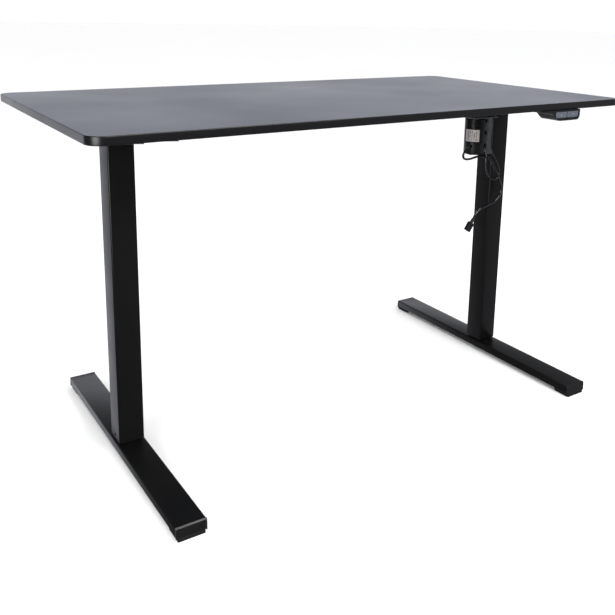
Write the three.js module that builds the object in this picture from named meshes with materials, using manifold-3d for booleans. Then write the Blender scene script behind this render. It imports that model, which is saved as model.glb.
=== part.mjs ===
// Electric sit-stand desk: one board on two telescopic legs, one motor, one hex drive shaft.
// Millimetres, +Z up, X along the board, the user sits on the -Y side. The desk stands at its
// lowest height. Origin: middle of the footprint, on the floor.

import * as THREE from 'three';
import { mergeVertices } from 'three/addons/utils/BufferGeometryUtils.js';
import Module from 'manifold-3d';

const wasm = await Module();
wasm.setup();

// ---------------------------------------------------------------- driving dimensions
const GAP = 0.3; // between touching pieces
const SLIDE_GAP = 0.4; // between pieces that slide or turn in each other

const BOARD = { length: 1300, depth: 700, thickness: 16, cornerRadius: 30, arris: 1.2 };
const DESK_HEIGHT = 728; // floor to the top of the board, lowest
const LIFT_TRAVEL = 450;

const LEG_SPACING = 1026; // between the column centres
const LEG_FORWARD = 61; // column centre ahead of the middle of the board

const COLUMN = { side: 54, wall: 2, radius: 3 };
const COLUMN_FOOT_GAP = 4.5; // outer column to foot, lowest
const INNER = { wall: 2, radius: 2, below: 37.5 }; // below: its top under the outer column's

const FOOT = { length: 678, width: 60, height: 20, wall: 2, radius: 3 };
const PAD = { height: 8.5, length: 45, inset: 3.5, slope: 3 };
const CAP = { face: 4, plug: 24, proud: 0.5 };

const FOOT_BLOCK_HEIGHT = 13.7;
const BOLT = { thread: 8, head: 13, headHeight: 5, edge: 3.7, reach: 12, socket: 6.8, socketDepth: 3 };

const CARRIER = { flange: 12, plug: 24, bore: 22 };
const NUT = { body: 21.4, flange: 31, flangeHeight: 5, below: 22 };
const SPINDLE = { diameter: 14, journal: 10, spare: 14 };
const GLIDE = { height: 60, wall: 1.3, lip: 1.2, lipInset: 1 };

const ARM = { web: 2.5, wall: 2.5, depth: 40, tipDepth: 10, flat: 90, besideHead: 2, behindHandset: 3 };
const RAIL = { width: 20, height: 30, wall: 1.5, offset: 60 };

const HEAD = { overhang: 1, wall: 4, lid: 3, floor: 4, rim: 2 }; // gear housing on a column
const SHAFT = { across: 8.6, passage: 3.2 }; // hex drive shaft, across corners
const SHAFT_BELOW_BOARD = 20;
const BEARING = { outer: 26, height: 7 };
const BEVEL = { pitch: 12, rim: 0.7, tooth: 1.1, teeth: 14, back: 2.5, relief: 0.35 };

const MOTOR = { diameter: 52, wall: 2, top: 3, canHeight: 61.4, fromColumn: 60 };
const MOTOR_CAP = { height: 32, wall: 2, dome: 4 };
const MOTOR_SHAFT = 8;
const STATOR = { wall: 6, height: 50, above: 6 };
const ARMATURE = { airGap: 0.7, height: 44, above: 13 };
const COMMUTATOR = { diameter: 16, height: 8 };
const CONTROL_BOARD = { thickness: 1.6, below: 12 };
const WORM = { centreDistance: 20, root: 4.9, tip: 6.3, length: 20, lead: 8, starts: 2 };
const WHEEL = { root: 11.6, tip: 13.2, width: 12, teeth: 20 };
const GEARBOX = { width: 48, front: 22, back: 22, wall: 4, lid: 3, rim: 2, underWheel: 11.2 };
const BRACKET = { flange: 17.7, sheet: 2.3, shelf: 3, below: 98 };
const MOTOR_THROAT = 3; // round the motor shaft, through the shelf and the gearbox
const LABEL = { height: 31, arc: 82, turn: 56, thickness: 0.35, above: 3 };

const HANDSET = { left: 371, bodyLeft: 428, right: 495, height: 24.5, depth: 50, ahead: 4, radius: 11 };
const HANDSET_WALL = 2.4;
const WINDOW = { left: 413, right: 491, top: 3.2, height: 15.4, frame: 5, corner: 7 };
const CAVITY_CORNER = 10; // round the handset's circuit board, lower corners
const BUTTON = { travel: 1.2, depth: 7, gap: 0.5, divider: 2.4, sunk: 0.6, corner: 0.8 };
const CABLE_WAY = { x: 452, width: 6, height: 6 };

const POWER_CORD_DIAMETER = 6;
const HANDSET_CORD_DIAMETER = 3.6;
const CONNECTOR = { length: 24, width: 17, height: 12, neck: 12 };
const RELIEF = { length: 13, root: 8.4, tip: 7.4, turn: 210, below: 9.3 }; // turn: round the motor, degrees

// ---------------------------------------------------------------- places worked out from them
const boardUnder = DESK_HEIGHT - BOARD.thickness;
const legX = LEG_SPACING / 2;
const legY = -LEG_FORWARD;
const footTop = PAD.height + FOOT.height;
const footFront = legY - FOOT.length / 2;
const footBack = legY + FOOT.length / 2;
const columnBottom = footTop + COLUMN_FOOT_GAP;
const innerSide = COLUMN.side - 2 * (COLUMN.wall + GAP + GLIDE.wall + SLIDE_GAP);
const innerBore = innerSide - 2 * (INNER.wall + GAP); // side of what is plugged into it
const boltSpacing = innerBore - BOLT.thread - 2 * BOLT.edge;
const headSide = COLUMN.side + 2 * HEAD.overhang;
const armWidth = headSide + 2 * (ARM.besideHead + ARM.wall);
const shaftHole = SHAFT.across / 2 + SHAFT.passage;
const bevelInner = Math.max(SHAFT.across, SPINDLE.journal) / 2 + GAP + BEVEL.rim;

const armTop = boardUnder - GAP;
const headTop = armTop - ARM.web - GAP; // top of a gear housing's lid
const shaftZ = boardUnder - SHAFT_BELOW_BOARD;
const gearBottom = shaftZ - BEVEL.pitch - BEVEL.back - GAP;
const bearingBottom = gearBottom - GAP - BEARING.height;
const headFloorTop = bearingBottom - GAP;
const headBottom = headFloorTop - HEAD.floor;
const columnTop = headBottom - GAP;

const innerBottom = footTop + GAP;
const innerTop = columnTop - INNER.below;
const carrierBottom = innerTop + GAP;
const carrierTop = carrierBottom + CARRIER.flange;

const motorX = legX - COLUMN.side / 2 - MOTOR.fromColumn;
const motorY = legY - WORM.centreDistance;
const gearboxFloorTop = shaftZ - WHEEL.tip - GEARBOX.underWheel;
const gearboxBottom = gearboxFloorTop - GEARBOX.wall;
const shelfBottom = gearboxBottom - GAP - BRACKET.shelf;
const motorTop = shelfBottom - GAP;
const canBottom = motorTop - MOTOR.canHeight;
const motorCapTop = canBottom - GAP;
const motorCapBottom = motorCapTop - MOTOR_CAP.height;

const boardFront = -BOARD.depth / 2;
const handsetFront = boardFront - HANDSET.ahead;
const handsetTop = boardUnder - GAP;
const handsetBottom = handsetTop - HANDSET.height;
const handsetBack = handsetFront + HANDSET.depth;
const armHalf = legY - handsetBack - ARM.behindHandset;

const frontmost = Math.min(footFront, handsetFront);
const backmost = Math.max(BOARD.depth / 2, footBack);
const sides = [{ name: 'left', sign: -1 }, { name: 'right', sign: 1 }];

// ---------------------------------------------------------------- materials
const material = (color, roughness, metalness) =>
  new THREE.MeshStandardMaterial({ color, roughness, metalness });
const laminate = material(0x2a2b30, 0.45, 0);
const powderCoat = material(0x1c1c1e, 0.5, 0.3);
const blackPlastic = material(0x161617, 0.55, 0);
const buttonPlastic = material(0x55595e, 0.5, 0);
const steel = material(0x9a9da1, 0.35, 1);
const zinc = material(0xb4b6b5, 0.4, 1);
const brass = material(0xb08d45, 0.35, 1);
const acetal = material(0xe6e4dc, 0.6, 0);
const castAlloy = material(0x8b8d90, 0.5, 1);
const ferrite = material(0x35363a, 0.7, 0.2);
const copper = material(0xb4703a, 0.4, 1);
const circuitGreen = material(0x1f5a38, 0.6, 0);
const paper = material(0xc9c9c9, 0.7, 0);
const cordPvc = material(0x101011, 0.5, 0);

// ---------------------------------------------------------------- solids and how they are joined
function toSolid(geometry) {
  const bare = geometry.clone();
  for (const extra of ['normal', 'uv']) bare.deleteAttribute(extra);
  const merged = mergeVertices(bare.index ? bare.toNonIndexed() : bare, 1e-4);
  return new wasm.Manifold(new wasm.Mesh({
    numProp: 3,
    vertProperties: new Float32Array(merged.attributes.position.array),
    triVerts: new Uint32Array(merged.index.array),
  }));
}

function toGeometry(solid) {
  const mesh = solid.getMesh();
  const geometry = new THREE.BufferGeometry();
  geometry.setAttribute('position', new THREE.BufferAttribute(mesh.vertProperties, 3));
  geometry.setIndex(new THREE.BufferAttribute(mesh.triVerts, 1));
  geometry.computeVertexNormals();
  return geometry;
}

const join = (first, ...others) =>
  toGeometry(others.reduce((whole, next) => whole.add(toSolid(next)), toSolid(first)));
const cut = (first, ...others) =>
  toGeometry(others.reduce((whole, next) => whole.subtract(toSolid(next)), toSolid(first)));

// A block from its lowest to its highest corner.
function block(x0, x1, y0, y1, z0, z1) {
  const geometry = new THREE.BoxGeometry(x1 - x0, y1 - y0, z1 - z0);
  return geometry.translate((x0 + x1) / 2, (y0 + y1) / 2, (z0 + z1) / 2);
}

// A round rod along Z from z0 to z1.
function rod(radius, z0, z1, x = 0, y = 0, facets = 18) {
  const geometry = new THREE.CylinderGeometry(radius, radius, z1 - z0, facets);
  return geometry.rotateX(Math.PI / 2).translate(x, y, (z0 + z1) / 2);
}

// The same rod along X, from x0 to x1.
function rodX(radius, x0, x1, y, z, facets = 16) {
  const geometry = new THREE.CylinderGeometry(radius, radius, x1 - x0, facets);
  return geometry.rotateZ(-Math.PI / 2).translate((x0 + x1) / 2, y, z);
}

// A turned piece about Z: profile points are [radius, height].
function turned(profile, facets = 18) {
  const points = profile.map(([r, z]) => new THREE.Vector2(r, z));
  return new THREE.LatheGeometry(points, facets).rotateX(Math.PI / 2);
}

// A ring of rectangular section about Z.
function ring(inner, outer, z0, z1, facets = 20) {
  return turned([[inner, z0], [outer, z0], [outer, z1], [inner, z1], [inner, z0]], facets);
}

function roundedRectangle(width, height, radius, target = new THREE.Shape()) {
  const x = width / 2;
  const y = height / 2;
  target.moveTo(-x + radius, -y);
  target.lineTo(x - radius, -y);
  target.absarc(x - radius, -y + radius, radius, -Math.PI / 2, 0, false);
  target.lineTo(x, y - radius);
  target.absarc(x - radius, y - radius, radius, 0, Math.PI / 2, false);
  target.lineTo(-x + radius, y);
  target.absarc(-x + radius, y - radius, radius, Math.PI / 2, Math.PI, false);
  target.lineTo(-x, -y + radius);
  target.absarc(-x + radius, -y + radius, radius, Math.PI, 1.5 * Math.PI, false);
  return target;
}

const extruded = (shape, depth, curveSegments = 2) =>
  new THREE.ExtrudeGeometry(shape, { depth, bevelEnabled: false, curveSegments });

// A rectangular tube along Z standing on z0, open at both ends.
function tube(width, height, wall, radius, z0, z1) {
  const shape = roundedRectangle(width, height, radius);
  const inner = Math.max(radius - wall, 0.5);
  shape.holes.push(roundedRectangle(width - 2 * wall, height - 2 * wall, inner, new THREE.Path()));
  return extruded(shape, z1 - z0).translate(0, 0, z0);
}

function outline(points) {
  return new THREE.Shape(points.map(([x, y]) => new THREE.Vector2(x, y)));
}

// An outline in the YZ plane, carried along X from x0 to x1.
function slabX(points, x0, x1) {
  const geometry = extruded(outline(points), x1 - x0);
  geometry.applyMatrix4(new THREE.Matrix4().makeBasis(
    new THREE.Vector3(0, 1, 0), new THREE.Vector3(0, 0, 1), new THREE.Vector3(1, 0, 0)));
  return geometry.translate(x0, 0, 0);
}

// An outline in the XZ plane, carried along Y from y0 to y1.
function slabY(shape, y0, y1, curveSegments = 4) {
  const geometry = extruded(shape, y1 - y0, curveSegments);
  return geometry.rotateX(Math.PI / 2).translate(0, y1, 0);
}

const desk = new THREE.Group();
desk.position.y = -(frontmost + backmost) / 2;

function add(name, geometry, finish, x = 0, y = 0, z = 0) {
  const mesh = new THREE.Mesh(geometry, finish);
  mesh.name = name;
  mesh.position.set(x, y, z);
  desk.add(mesh);
  return mesh;
}

// ---------------------------------------------------------------- board
function board() {
  const a = BOARD.arris;
  const shape = roundedRectangle(BOARD.length - 2 * a, BOARD.depth - 2 * a, BOARD.cornerRadius - a);
  const geometry = new THREE.ExtrudeGeometry(shape, {
    depth: BOARD.thickness - 2 * a, bevelThickness: a, bevelSize: a, bevelSegments: 1, curveSegments: 7,
  });
  return geometry.translate(0, 0, boardUnder + a);
}

// ---------------------------------------------------------------- feet
function footTube() {
  const length = FOOT.length - 2 * (CAP.face + GAP);
  const geometry = tube(FOOT.width, FOOT.height, FOOT.wall, FOOT.radius, -length / 2, length / 2);
  geometry.rotateX(Math.PI / 2).translate(0, 0, PAD.height + FOOT.height / 2);
  const wells = [-1, 1].map((s) =>
    rod(BOLT.thread / 2 + SLIDE_GAP, 0, footTop + 1, 0, s * boltSpacing / 2, 10));
  return cut(geometry, ...wells);
}

// End cap with the floor pad moulded on. Modelled for the front end, where the tube ends at +Y.
function footCap() {
  const end = -FOOT.length / 2;
  const tubeEnd = end + CAP.face + GAP;
  const wide = FOOT.width / 2 + CAP.proud;
  const narrow = FOOT.width / 2 - PAD.inset;
  const face = slabX([
    [end + 0.6, PAD.height - 2], [tubeEnd - GAP, PAD.height - 2],
    [tubeEnd - GAP, footTop + CAP.proud], [end + PAD.slope, footTop + CAP.proud],
    [end + PAD.slope - 1.4, footTop - 1],
  ], -wide, wide);
  const pad = slabX([
    [end, 0], [end + PAD.length - 3, 0], [end + PAD.length, PAD.height - GAP],
    [tubeEnd - GAP, PAD.height - GAP], [tubeEnd - GAP, PAD.height + 1], [end + 0.6, PAD.height + 1],
  ], -narrow, narrow);
  const inside = FOOT.wall + GAP;
  const plug = block(
    -FOOT.width / 2 + inside, FOOT.width / 2 - inside, tubeEnd - 1, tubeEnd + CAP.plug,
    PAD.height + inside, footTop - inside);
  return join(face, pad, plug);
}

function footBlock() {
  const solid = extruded(roundedRectangle(innerBore, innerBore, 1.5), FOOT_BLOCK_HEIGHT)
    .translate(0, 0, innerBottom);
  const top = innerBottom + FOOT_BLOCK_HEIGHT + 1;
  const holes = [-1, 1].map((s) =>
    rod(BOLT.thread / 2 + GAP, innerBottom - 1, top, 0, s * boltSpacing / 2, 10));
  return cut(solid, ...holes);
}

function footBolt() {
  const under = PAD.height - GAP;
  const bottom = under - BOLT.headHeight;
  const head = BOLT.head / 2;
  const thread = BOLT.thread / 2;
  const socket = BOLT.socket / 2;
  return turned([
    [0, bottom + BOLT.socketDepth], [socket, bottom + BOLT.socketDepth], [socket, bottom],
    [head - 0.6, bottom], [head, bottom + 0.6], [head, under], [thread, under],
    [thread, innerBottom + BOLT.reach - 1], [thread - 1, innerBottom + BOLT.reach],
    [0, innerBottom + BOLT.reach],
  ], 12);
}

function nutCarrier() {
  const flangeSide = COLUMN.side - 2 * (COLUMN.wall + SLIDE_GAP);
  const flange = extruded(roundedRectangle(flangeSide, flangeSide, 1.5), CARRIER.flange)
    .translate(0, 0, carrierBottom);
  const plug = extruded(roundedRectangle(innerBore, innerBore, 1), CARRIER.plug + 1)
    .translate(0, 0, carrierBottom - CARRIER.plug);
  const bore = rod(CARRIER.bore / 2, carrierBottom - CARRIER.plug - 1, carrierTop + 1);
  return cut(join(flange, plug), bore);
}

function spindleNut() {
  const bore = SPINDLE.diameter / 2 + SLIDE_GAP;
  const flangeBottom = carrierTop + GAP;
  return turned([
    [bore, flangeBottom - NUT.below], [NUT.body / 2, flangeBottom - NUT.below],
    [NUT.body / 2, flangeBottom], [NUT.flange / 2, flangeBottom],
    [NUT.flange / 2, flangeBottom + NUT.flangeHeight], [bore, flangeBottom + NUT.flangeHeight],
    [bore, flangeBottom - NUT.below],
  ]);
}

function base({ name, sign }) {
  const x = sign * legX;
  add(`foot_tube_${name}`, footTube(), powderCoat, x, legY);
  add(`foot_cap_front_${name}`, footCap(), blackPlastic, x, legY);
  add(`foot_cap_rear_${name}`, footCap(), blackPlastic, x, legY).rotation.z = Math.PI;
  const inner = tube(innerSide, innerSide, INNER.wall, INNER.radius, innerBottom, innerTop);
  add(`inner_column_${name}`, inner, powderCoat, x, legY);
  add(`foot_block_${name}`, footBlock(), steel, x, legY);
  for (const [end, s] of [['front', -1], ['rear', 1]]) {
    add(`foot_bolt_${end}_${name}`, footBolt(), zinc, x, legY + s * boltSpacing / 2);
  }
  add(`nut_carrier_${name}`, nutCarrier(), acetal, x, legY);
  add(`spindle_nut_${name}`, spindleNut(), brass, x, legY);
}

// ---------------------------------------------------------------- columns and their gear heads
function lowerGlide() {
  const outside = COLUMN.side - 2 * (COLUMN.wall + GAP);
  const inside = innerSide + 2 * SLIDE_GAP;
  const lipSide = COLUMN.side - 2 * GLIDE.lipInset;
  const lipTop = columnBottom - GAP;
  const sleeve = extruded(roundedRectangle(outside, outside, 1.2), GLIDE.height)
    .translate(0, 0, lipTop - 0.1);
  const lip = extruded(roundedRectangle(lipSide, lipSide, 2.4), GLIDE.lip)
    .translate(0, 0, lipTop - GLIDE.lip);
  const passage = extruded(roundedRectangle(inside, inside, INNER.radius), GLIDE.height + 10)
    .translate(0, 0, lipTop - 5);
  return cut(join(sleeve, lip), passage);
}

// Housing for the bevel gears. The shaft enters on the inner side, which is +X here.
function gearHead() {
  const half = headSide / 2;
  const top = headTop - HEAD.lid - GAP;
  const shell = extruded(roundedRectangle(headSide, headSide, HEAD.wall), top - headBottom)
    .translate(0, 0, headBottom);
  const inside = half - HEAD.wall;
  const cavity = block(-inside, inside, -inside, inside, headFloorTop, top + 1);
  const throat = rod(SPINDLE.diameter / 2 + 1, headBottom - 1, headFloorTop + 1);
  const entry = rodX(shaftHole, 0, half + 1, 0, shaftZ);
  return cut(shell, cavity, throat, entry);
}

function gearHeadLid() {
  const under = headTop - HEAD.lid;
  const shell = extruded(roundedRectangle(headSide, headSide, HEAD.wall), HEAD.lid).translate(0, 0, under);
  const inside = headSide / 2 - HEAD.wall - GAP;
  const rim = block(-inside, inside, -inside, inside, under - HEAD.rim, under + 1);
  const hollow = inside - HEAD.rim;
  const clear = block(-hollow, hollow, -hollow, hollow, under - HEAD.rim - 1, under);
  return cut(join(shell, rim), clear);
}

// Straight bevel gear, axis +Z, apex at the origin, its back towards -Z. The tooth tips stay on
// the near side of the 45 degree pitch cone, so that two of them never bite into each other.
function bevelGear(bore, boreFacets, phase) {
  const positions = [];
  const steps = BEVEL.teeth * 2;
  const small = bevelInner;
  const tooth = (k) => (k % 2) * BEVEL.tooth;
  for (let k = 0; k < steps; k += 1) {
    const angle = (2 * Math.PI * (k + phase)) / steps;
    const drop = (tooth(k) + BEVEL.relief) * Math.SQRT1_2; // square to the pitch cone
    positions.push([
      [BEVEL.pitch - drop, -BEVEL.pitch - BEVEL.back],
      [BEVEL.pitch - drop, -BEVEL.pitch - drop],
      [small - drop / 2, -small - drop / 2 - BEVEL.relief],
    ].map(([r, z]) => [r * Math.cos(angle), r * Math.sin(angle), z]));
  }
  const body = closedSkin(positions);
  return cut(body, rod(bore, -BEVEL.pitch - BEVEL.back - 1, 0, 0, 0, boreFacets));
}

// Closes a skin of rings: each entry of columns is a line of points from bottom to top.
function closedSkin(columns) {
  const count = columns.length;
  const rows = columns[0].length;
  const points = columns.flat();
  const centre = (row) => {
    const sum = columns.reduce((s, c) => [s[0] + c[row][0], s[1] + c[row][1], s[2] + c[row][2]], [0, 0, 0]);
    return sum.map((v) => v / count);
  };
  const index = [];
  for (let k = 0; k < count; k += 1) {
    const next = (k + 1) % count;
    for (let row = 0; row + 1 < rows; row += 1) {
      const [a, b] = [k * rows + row, next * rows + row];
      index.push(a, b, b + 1, a, b + 1, a + 1);
    }
    index.push(count * rows, next * rows, k * rows);
    index.push(count * rows + 1, k * rows + rows - 1, next * rows + rows - 1);
  }
  const geometry = new THREE.BufferGeometry();
  const all = [...points, centre(0), centre(rows - 1)];
  geometry.setAttribute('position', new THREE.Float32BufferAttribute(all.flat(), 3));
  geometry.setIndex(index);
  return geometry;
}

function spindle() {
  const threaded = SPINDLE.diameter / 2;
  const journal = SPINDLE.journal / 2;
  const shoulder = headBottom + 1;
  const bottom = carrierTop + GAP - NUT.below - LIFT_TRAVEL - SPINDLE.spare;
  const top = shaftZ - bevelInner - 1;
  return turned([
    [0, bottom], [threaded - 1.5, bottom], [threaded, bottom + 1.5], [threaded, shoulder],
    [journal, shoulder], [journal, top - 0.6], [journal - 0.6, top], [0, top],
  ]);
}

function arm() {
  const half = armHalf;
  const flat = ARM.flat / 2;
  const top = armTop;
  const under = [
    [-half, top - ARM.tipDepth], [-flat, top - ARM.depth],
    [flat, top - ARM.depth], [half, top - ARM.tipDepth],
  ];
  const body = slabX([...under, [half, top], [-half, top]], -armWidth / 2, armWidth / 2);
  const inner = armWidth / 2 - ARM.wall;
  const hollow = slabX(
    [[-half - 5, top - ARM.depth - 5], [half + 5, top - ARM.depth - 5], [half + 5, top - ARM.web],
      [-half - 5, top - ARM.web]], -inner, inner);
  const entry = rodX(shaftHole, inner - 5, armWidth, 0, shaftZ);
  return cut(body, hollow, entry);
}

function liftHead({ name, sign }) {
  const x = sign * legX;
  const turn = sign > 0 ? Math.PI : 0;
  const outer = tube(COLUMN.side, COLUMN.side, COLUMN.wall, COLUMN.radius, columnBottom, columnTop);
  add(`outer_column_${name}`, outer, powderCoat, x, legY);
  add(`lower_glide_${name}`, lowerGlide(), acetal, x, legY);
  add(`gear_head_${name}`, gearHead(), castAlloy, x, legY).rotation.z = turn;
  add(`gear_head_lid_${name}`, gearHeadLid(), castAlloy, x, legY);
  const raceBore = SPINDLE.journal / 2 + GAP;
  const race = ring(raceBore, BEARING.outer / 2, bearingBottom, bearingBottom + BEARING.height);
  add(`spindle_bearing_${name}`, race, steel, x, legY);
  add(`support_arm_${name}`, arm(), powderCoat, x, legY).rotation.z = turn;
  add(`spindle_${name}`, spindle(), steel, x, legY);
  add(`spindle_gear_${name}`, bevelGear(SPINDLE.journal / 2 + GAP, 12, 0), steel, x, legY, shaftZ);
  const pinion = add(`drive_pinion_${name}`, bevelGear(SHAFT.across / 2 + GAP, 6, 1), steel, x, legY, shaftZ);
  pinion.rotation.y = (sign * Math.PI) / 2;
}

// ---------------------------------------------------------------- crossbeam and drive shaft
function rail() {
  const half = legX - armWidth / 2 - GAP;
  const geometry = tube(RAIL.height, RAIL.width, RAIL.wall, 1.5, -half, half);
  return geometry.rotateY(Math.PI / 2).translate(0, 0, armTop - RAIL.height / 2);
}

function crossbeam() {
  add('rail_front', rail(), powderCoat, 0, legY - RAIL.offset);
  add('rail_rear', rail(), powderCoat, 0, legY + RAIL.offset);
  const end = legX - bevelInner - 1;
  const hex = rodX(SHAFT.across / 2, -end, end, 0, 0, 6).rotateX(Math.PI / 6);
  add('drive_shaft', hex, steel, 0, legY, shaftZ);
}

// ---------------------------------------------------------------- motor, worm drive and bracket
function wormWheel() {
  const columns = [];
  const steps = WHEEL.teeth * 4;
  for (let k = 0; k < steps; k += 1) {
    const angle = (2 * Math.PI * k) / steps;
    const r = k % 4 < 2 ? WHEEL.tip : WHEEL.root;
    const [x, y] = [r * Math.cos(angle), r * Math.sin(angle)];
    columns.push([-WHEEL.width / 2, WHEEL.width / 2].map((z) => [x, y, z]));
  }
  const bore = rod(SHAFT.across / 2 + GAP, -WHEEL.width, WHEEL.width, 0, 0, 6);
  return cut(closedSkin(columns), bore).rotateY(Math.PI / 2);
}

// Two-start worm: the radius rises and falls once per half turn of the helix.
function worm() {
  const around = 14;
  const along = 18;
  const columns = [];
  for (let k = 0; k < around; k += 1) {
    const angle = (2 * Math.PI * k) / around;
    const column = [];
    for (let j = 0; j <= along; j += 1) {
      const z = (j / along - 0.5) * WORM.length;
      const phase = WORM.starts * (angle - (2 * Math.PI * z) / WORM.lead);
      const r = (WORM.tip + WORM.root) / 2 + ((WORM.tip - WORM.root) / 2) * Math.cos(phase);
      column.push([r * Math.cos(angle), r * Math.sin(angle), z]);
    }
    columns.push(column);
  }
  return cut(closedSkin(columns), rod(MOTOR_SHAFT / 2 + GAP, -WORM.length, WORM.length, 0, 0, 10));
}

const magnetOuter = MOTOR.diameter / 2 - MOTOR.wall - GAP;
const magnetBore = magnetOuter - STATOR.wall;

function motorCan() {
  const outer = MOTOR.diameter / 2;
  const inner = outer - MOTOR.wall;
  const neck = MOTOR_SHAFT / 2 + SLIDE_GAP;
  return turned([
    [inner, canBottom], [outer, canBottom], [outer, motorTop - 1.5], [outer - 1.5, motorTop],
    [neck, motorTop], [neck, motorTop - MOTOR.top], [inner, motorTop - MOTOR.top], [inner, canBottom],
  ], 28);
}

function motorCap() {
  const outer = MOTOR.diameter / 2;
  const inner = outer - MOTOR_CAP.wall;
  const b = motorCapBottom;
  return turned([
    [0, b], [outer * 0.6, b + 0.5], [outer - 3, b + MOTOR_CAP.dome - 2], [outer - 0.7, b + MOTOR_CAP.dome],
    [outer, b + MOTOR_CAP.dome + 2.5], [outer, motorCapTop], [inner, motorCapTop],
    [inner, b + MOTOR_CAP.dome + 2.5], [inner - 2, b + MOTOR_CAP.dome], [0, b + MOTOR_CAP.dome - 1],
  ], 28);
}

function rotor() {
  const shaft = MOTOR_SHAFT / 2;
  const bottom = canBottom + 2;
  const stack = canBottom + ARMATURE.above;
  const brush = COMMUTATOR.diameter / 2;
  const core = magnetBore - ARMATURE.airGap;
  const top = shaftZ + WORM.length / 2 + 1;
  return turned([
    [0, bottom], [shaft, bottom], [shaft, stack - COMMUTATOR.height - 0.5],
    [brush, stack - COMMUTATOR.height - 0.5], [brush, stack - 0.5], [brush, stack], [core, stack],
    [core, stack + ARMATURE.height], [shaft, stack + ARMATURE.height], [shaft, top - 0.5],
    [shaft - 0.5, top], [0, top],
  ]);
}

function controlBoard() {
  const z = motorCapTop - CONTROL_BOARD.below;
  const radius = MOTOR.diameter / 2 - MOTOR_CAP.wall - 1;
  const disc = rod(radius, z, z + CONTROL_BOARD.thickness);
  const top = z + CONTROL_BOARD.thickness;
  return join(disc, block(-14, -4, -12, 6, top - 0.5, top + 6), block(2, 12, -4, 10, top - 0.5, top + 4),
    block(4, 12, -14, -8, top - 0.5, top + 7));
}

function gearbox() {
  const w = GEARBOX.width / 2;
  const wall = GEARBOX.wall;
  const y0 = motorY - GEARBOX.front;
  const y1 = legY + GEARBOX.back;
  const top = headTop - GEARBOX.lid - GAP;
  const shell = block(-w, w, y0, y1, gearboxBottom, top);
  const cavity = block(-w + wall, w - wall, y0 + wall, y1 - wall, gearboxFloorTop, top + 1);
  const throat = rod(MOTOR_SHAFT / 2 + MOTOR_THROAT, gearboxBottom - 1, gearboxFloorTop + 1, 0, motorY);
  const passage = rodX(SHAFT.across / 2 + SHAFT.passage, -w - 1, w + 1, legY, shaftZ);
  return cut(shell, cavity, throat, passage);
}

function gearboxLid() {
  const w = GEARBOX.width / 2;
  const y0 = motorY - GEARBOX.front;
  const y1 = legY + GEARBOX.back;
  const under = headTop - GEARBOX.lid;
  const inset = GEARBOX.wall + GAP;
  const plate = block(-w, w, y0, y1, under, headTop);
  const rim = block(-w + inset, w - inset, y0 + inset, y1 - inset, under - 1.5, under + 1);
  const far = inset + GEARBOX.rim;
  const clear = block(-w + far, w - far, y0 + far, y1 - far, under - 3, under);
  return cut(join(plate, rim), clear);
}

// Folded sheet: a channel screwed to the column's inner face, with a shelf for the gearbox.
function motorBracket() {
  const face = legX - COLUMN.side / 2 - GAP;
  const front = legY - COLUMN.side / 2;
  const back = legY + COLUMN.side / 2;
  const t = BRACKET.sheet;
  const bottom = shelfBottom - BRACKET.below;
  const top = shelfBottom + BRACKET.shelf;
  const web = block(face - t, face, front, back, bottom, top);
  const flanges = [front, back - t].map((y) => block(face - BRACKET.flange, face, y, y + t, bottom, top));
  const shelf = block(
    motorX - GEARBOX.width / 2, face, motorY - GEARBOX.front, back, shelfBottom, top);
  const bore = rod(MOTOR_SHAFT / 2 + MOTOR_THROAT, shelfBottom - 1, top + 1, motorX, motorY);
  return cut(join(web, ...flanges, shelf), bore);
}

// Type plate wrapped round the can, blank.
function label() {
  const inner = MOTOR.diameter / 2 + 0.15;
  const middle = -Math.PI / 2 - THREE.MathUtils.degToRad(LABEL.turn);
  const half = THREE.MathUtils.degToRad(LABEL.arc / 2);
  const shape = new THREE.Shape();
  shape.absarc(0, 0, inner + LABEL.thickness, middle - half, middle + half, false);
  shape.absarc(0, 0, inner, middle + half, middle - half, true);
  shape.closePath();
  return extruded(shape, LABEL.height, 10).translate(0, 0, canBottom + LABEL.above);
}

function motorUnit() {
  add('motor_can', motorCan(), powderCoat, motorX, motorY);
  const magnetBottom = canBottom + STATOR.above;
  const magnets = ring(magnetBore, magnetOuter, magnetBottom, magnetBottom + STATOR.height);
  add('motor_magnets', magnets, ferrite, motorX, motorY);
  add('motor_rotor', rotor(), copper, motorX, motorY);
  add('motor_cap', motorCap(), blackPlastic, motorX, motorY);
  add('control_board', controlBoard(), circuitGreen, motorX, motorY);
  add('worm', worm(), steel, motorX, motorY, shaftZ);
  add('worm_wheel', wormWheel(), brass, motorX, legY, shaftZ);
  add('gearbox_housing', gearbox(), blackPlastic, motorX);
  add('gearbox_lid', gearboxLid(), blackPlastic, motorX);
  add('motor_bracket', motorBracket(), zinc);
  add('motor_label', label(), paper, motorX, motorY);
}

// ---------------------------------------------------------------- handset
const windowTop = handsetTop - WINDOW.top;
const windowBottom = windowTop - WINDOW.height;

// Seen from the front: a thin wing on the left, then the body that holds the keys.
function handsetOutline() {
  const { left, bodyLeft, right } = HANDSET;
  const top = handsetTop;
  const bottom = handsetBottom;
  const r = HANDSET.radius;
  const shape = new THREE.Shape();
  shape.moveTo(left, top);
  shape.lineTo(left + 1.5, top - 3);
  shape.lineTo(bodyLeft - 30, top - 6);
  shape.quadraticCurveTo(bodyLeft - 24, top - 8, bodyLeft - 18, top - 14);
  shape.quadraticCurveTo(bodyLeft - 8, bottom, bodyLeft, bottom);
  shape.lineTo(right - r, bottom);
  shape.absarc(right - r, bottom + r, r, -Math.PI / 2, 0, false);
  shape.lineTo(right, top);
  shape.closePath();
  return shape;
}

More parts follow.
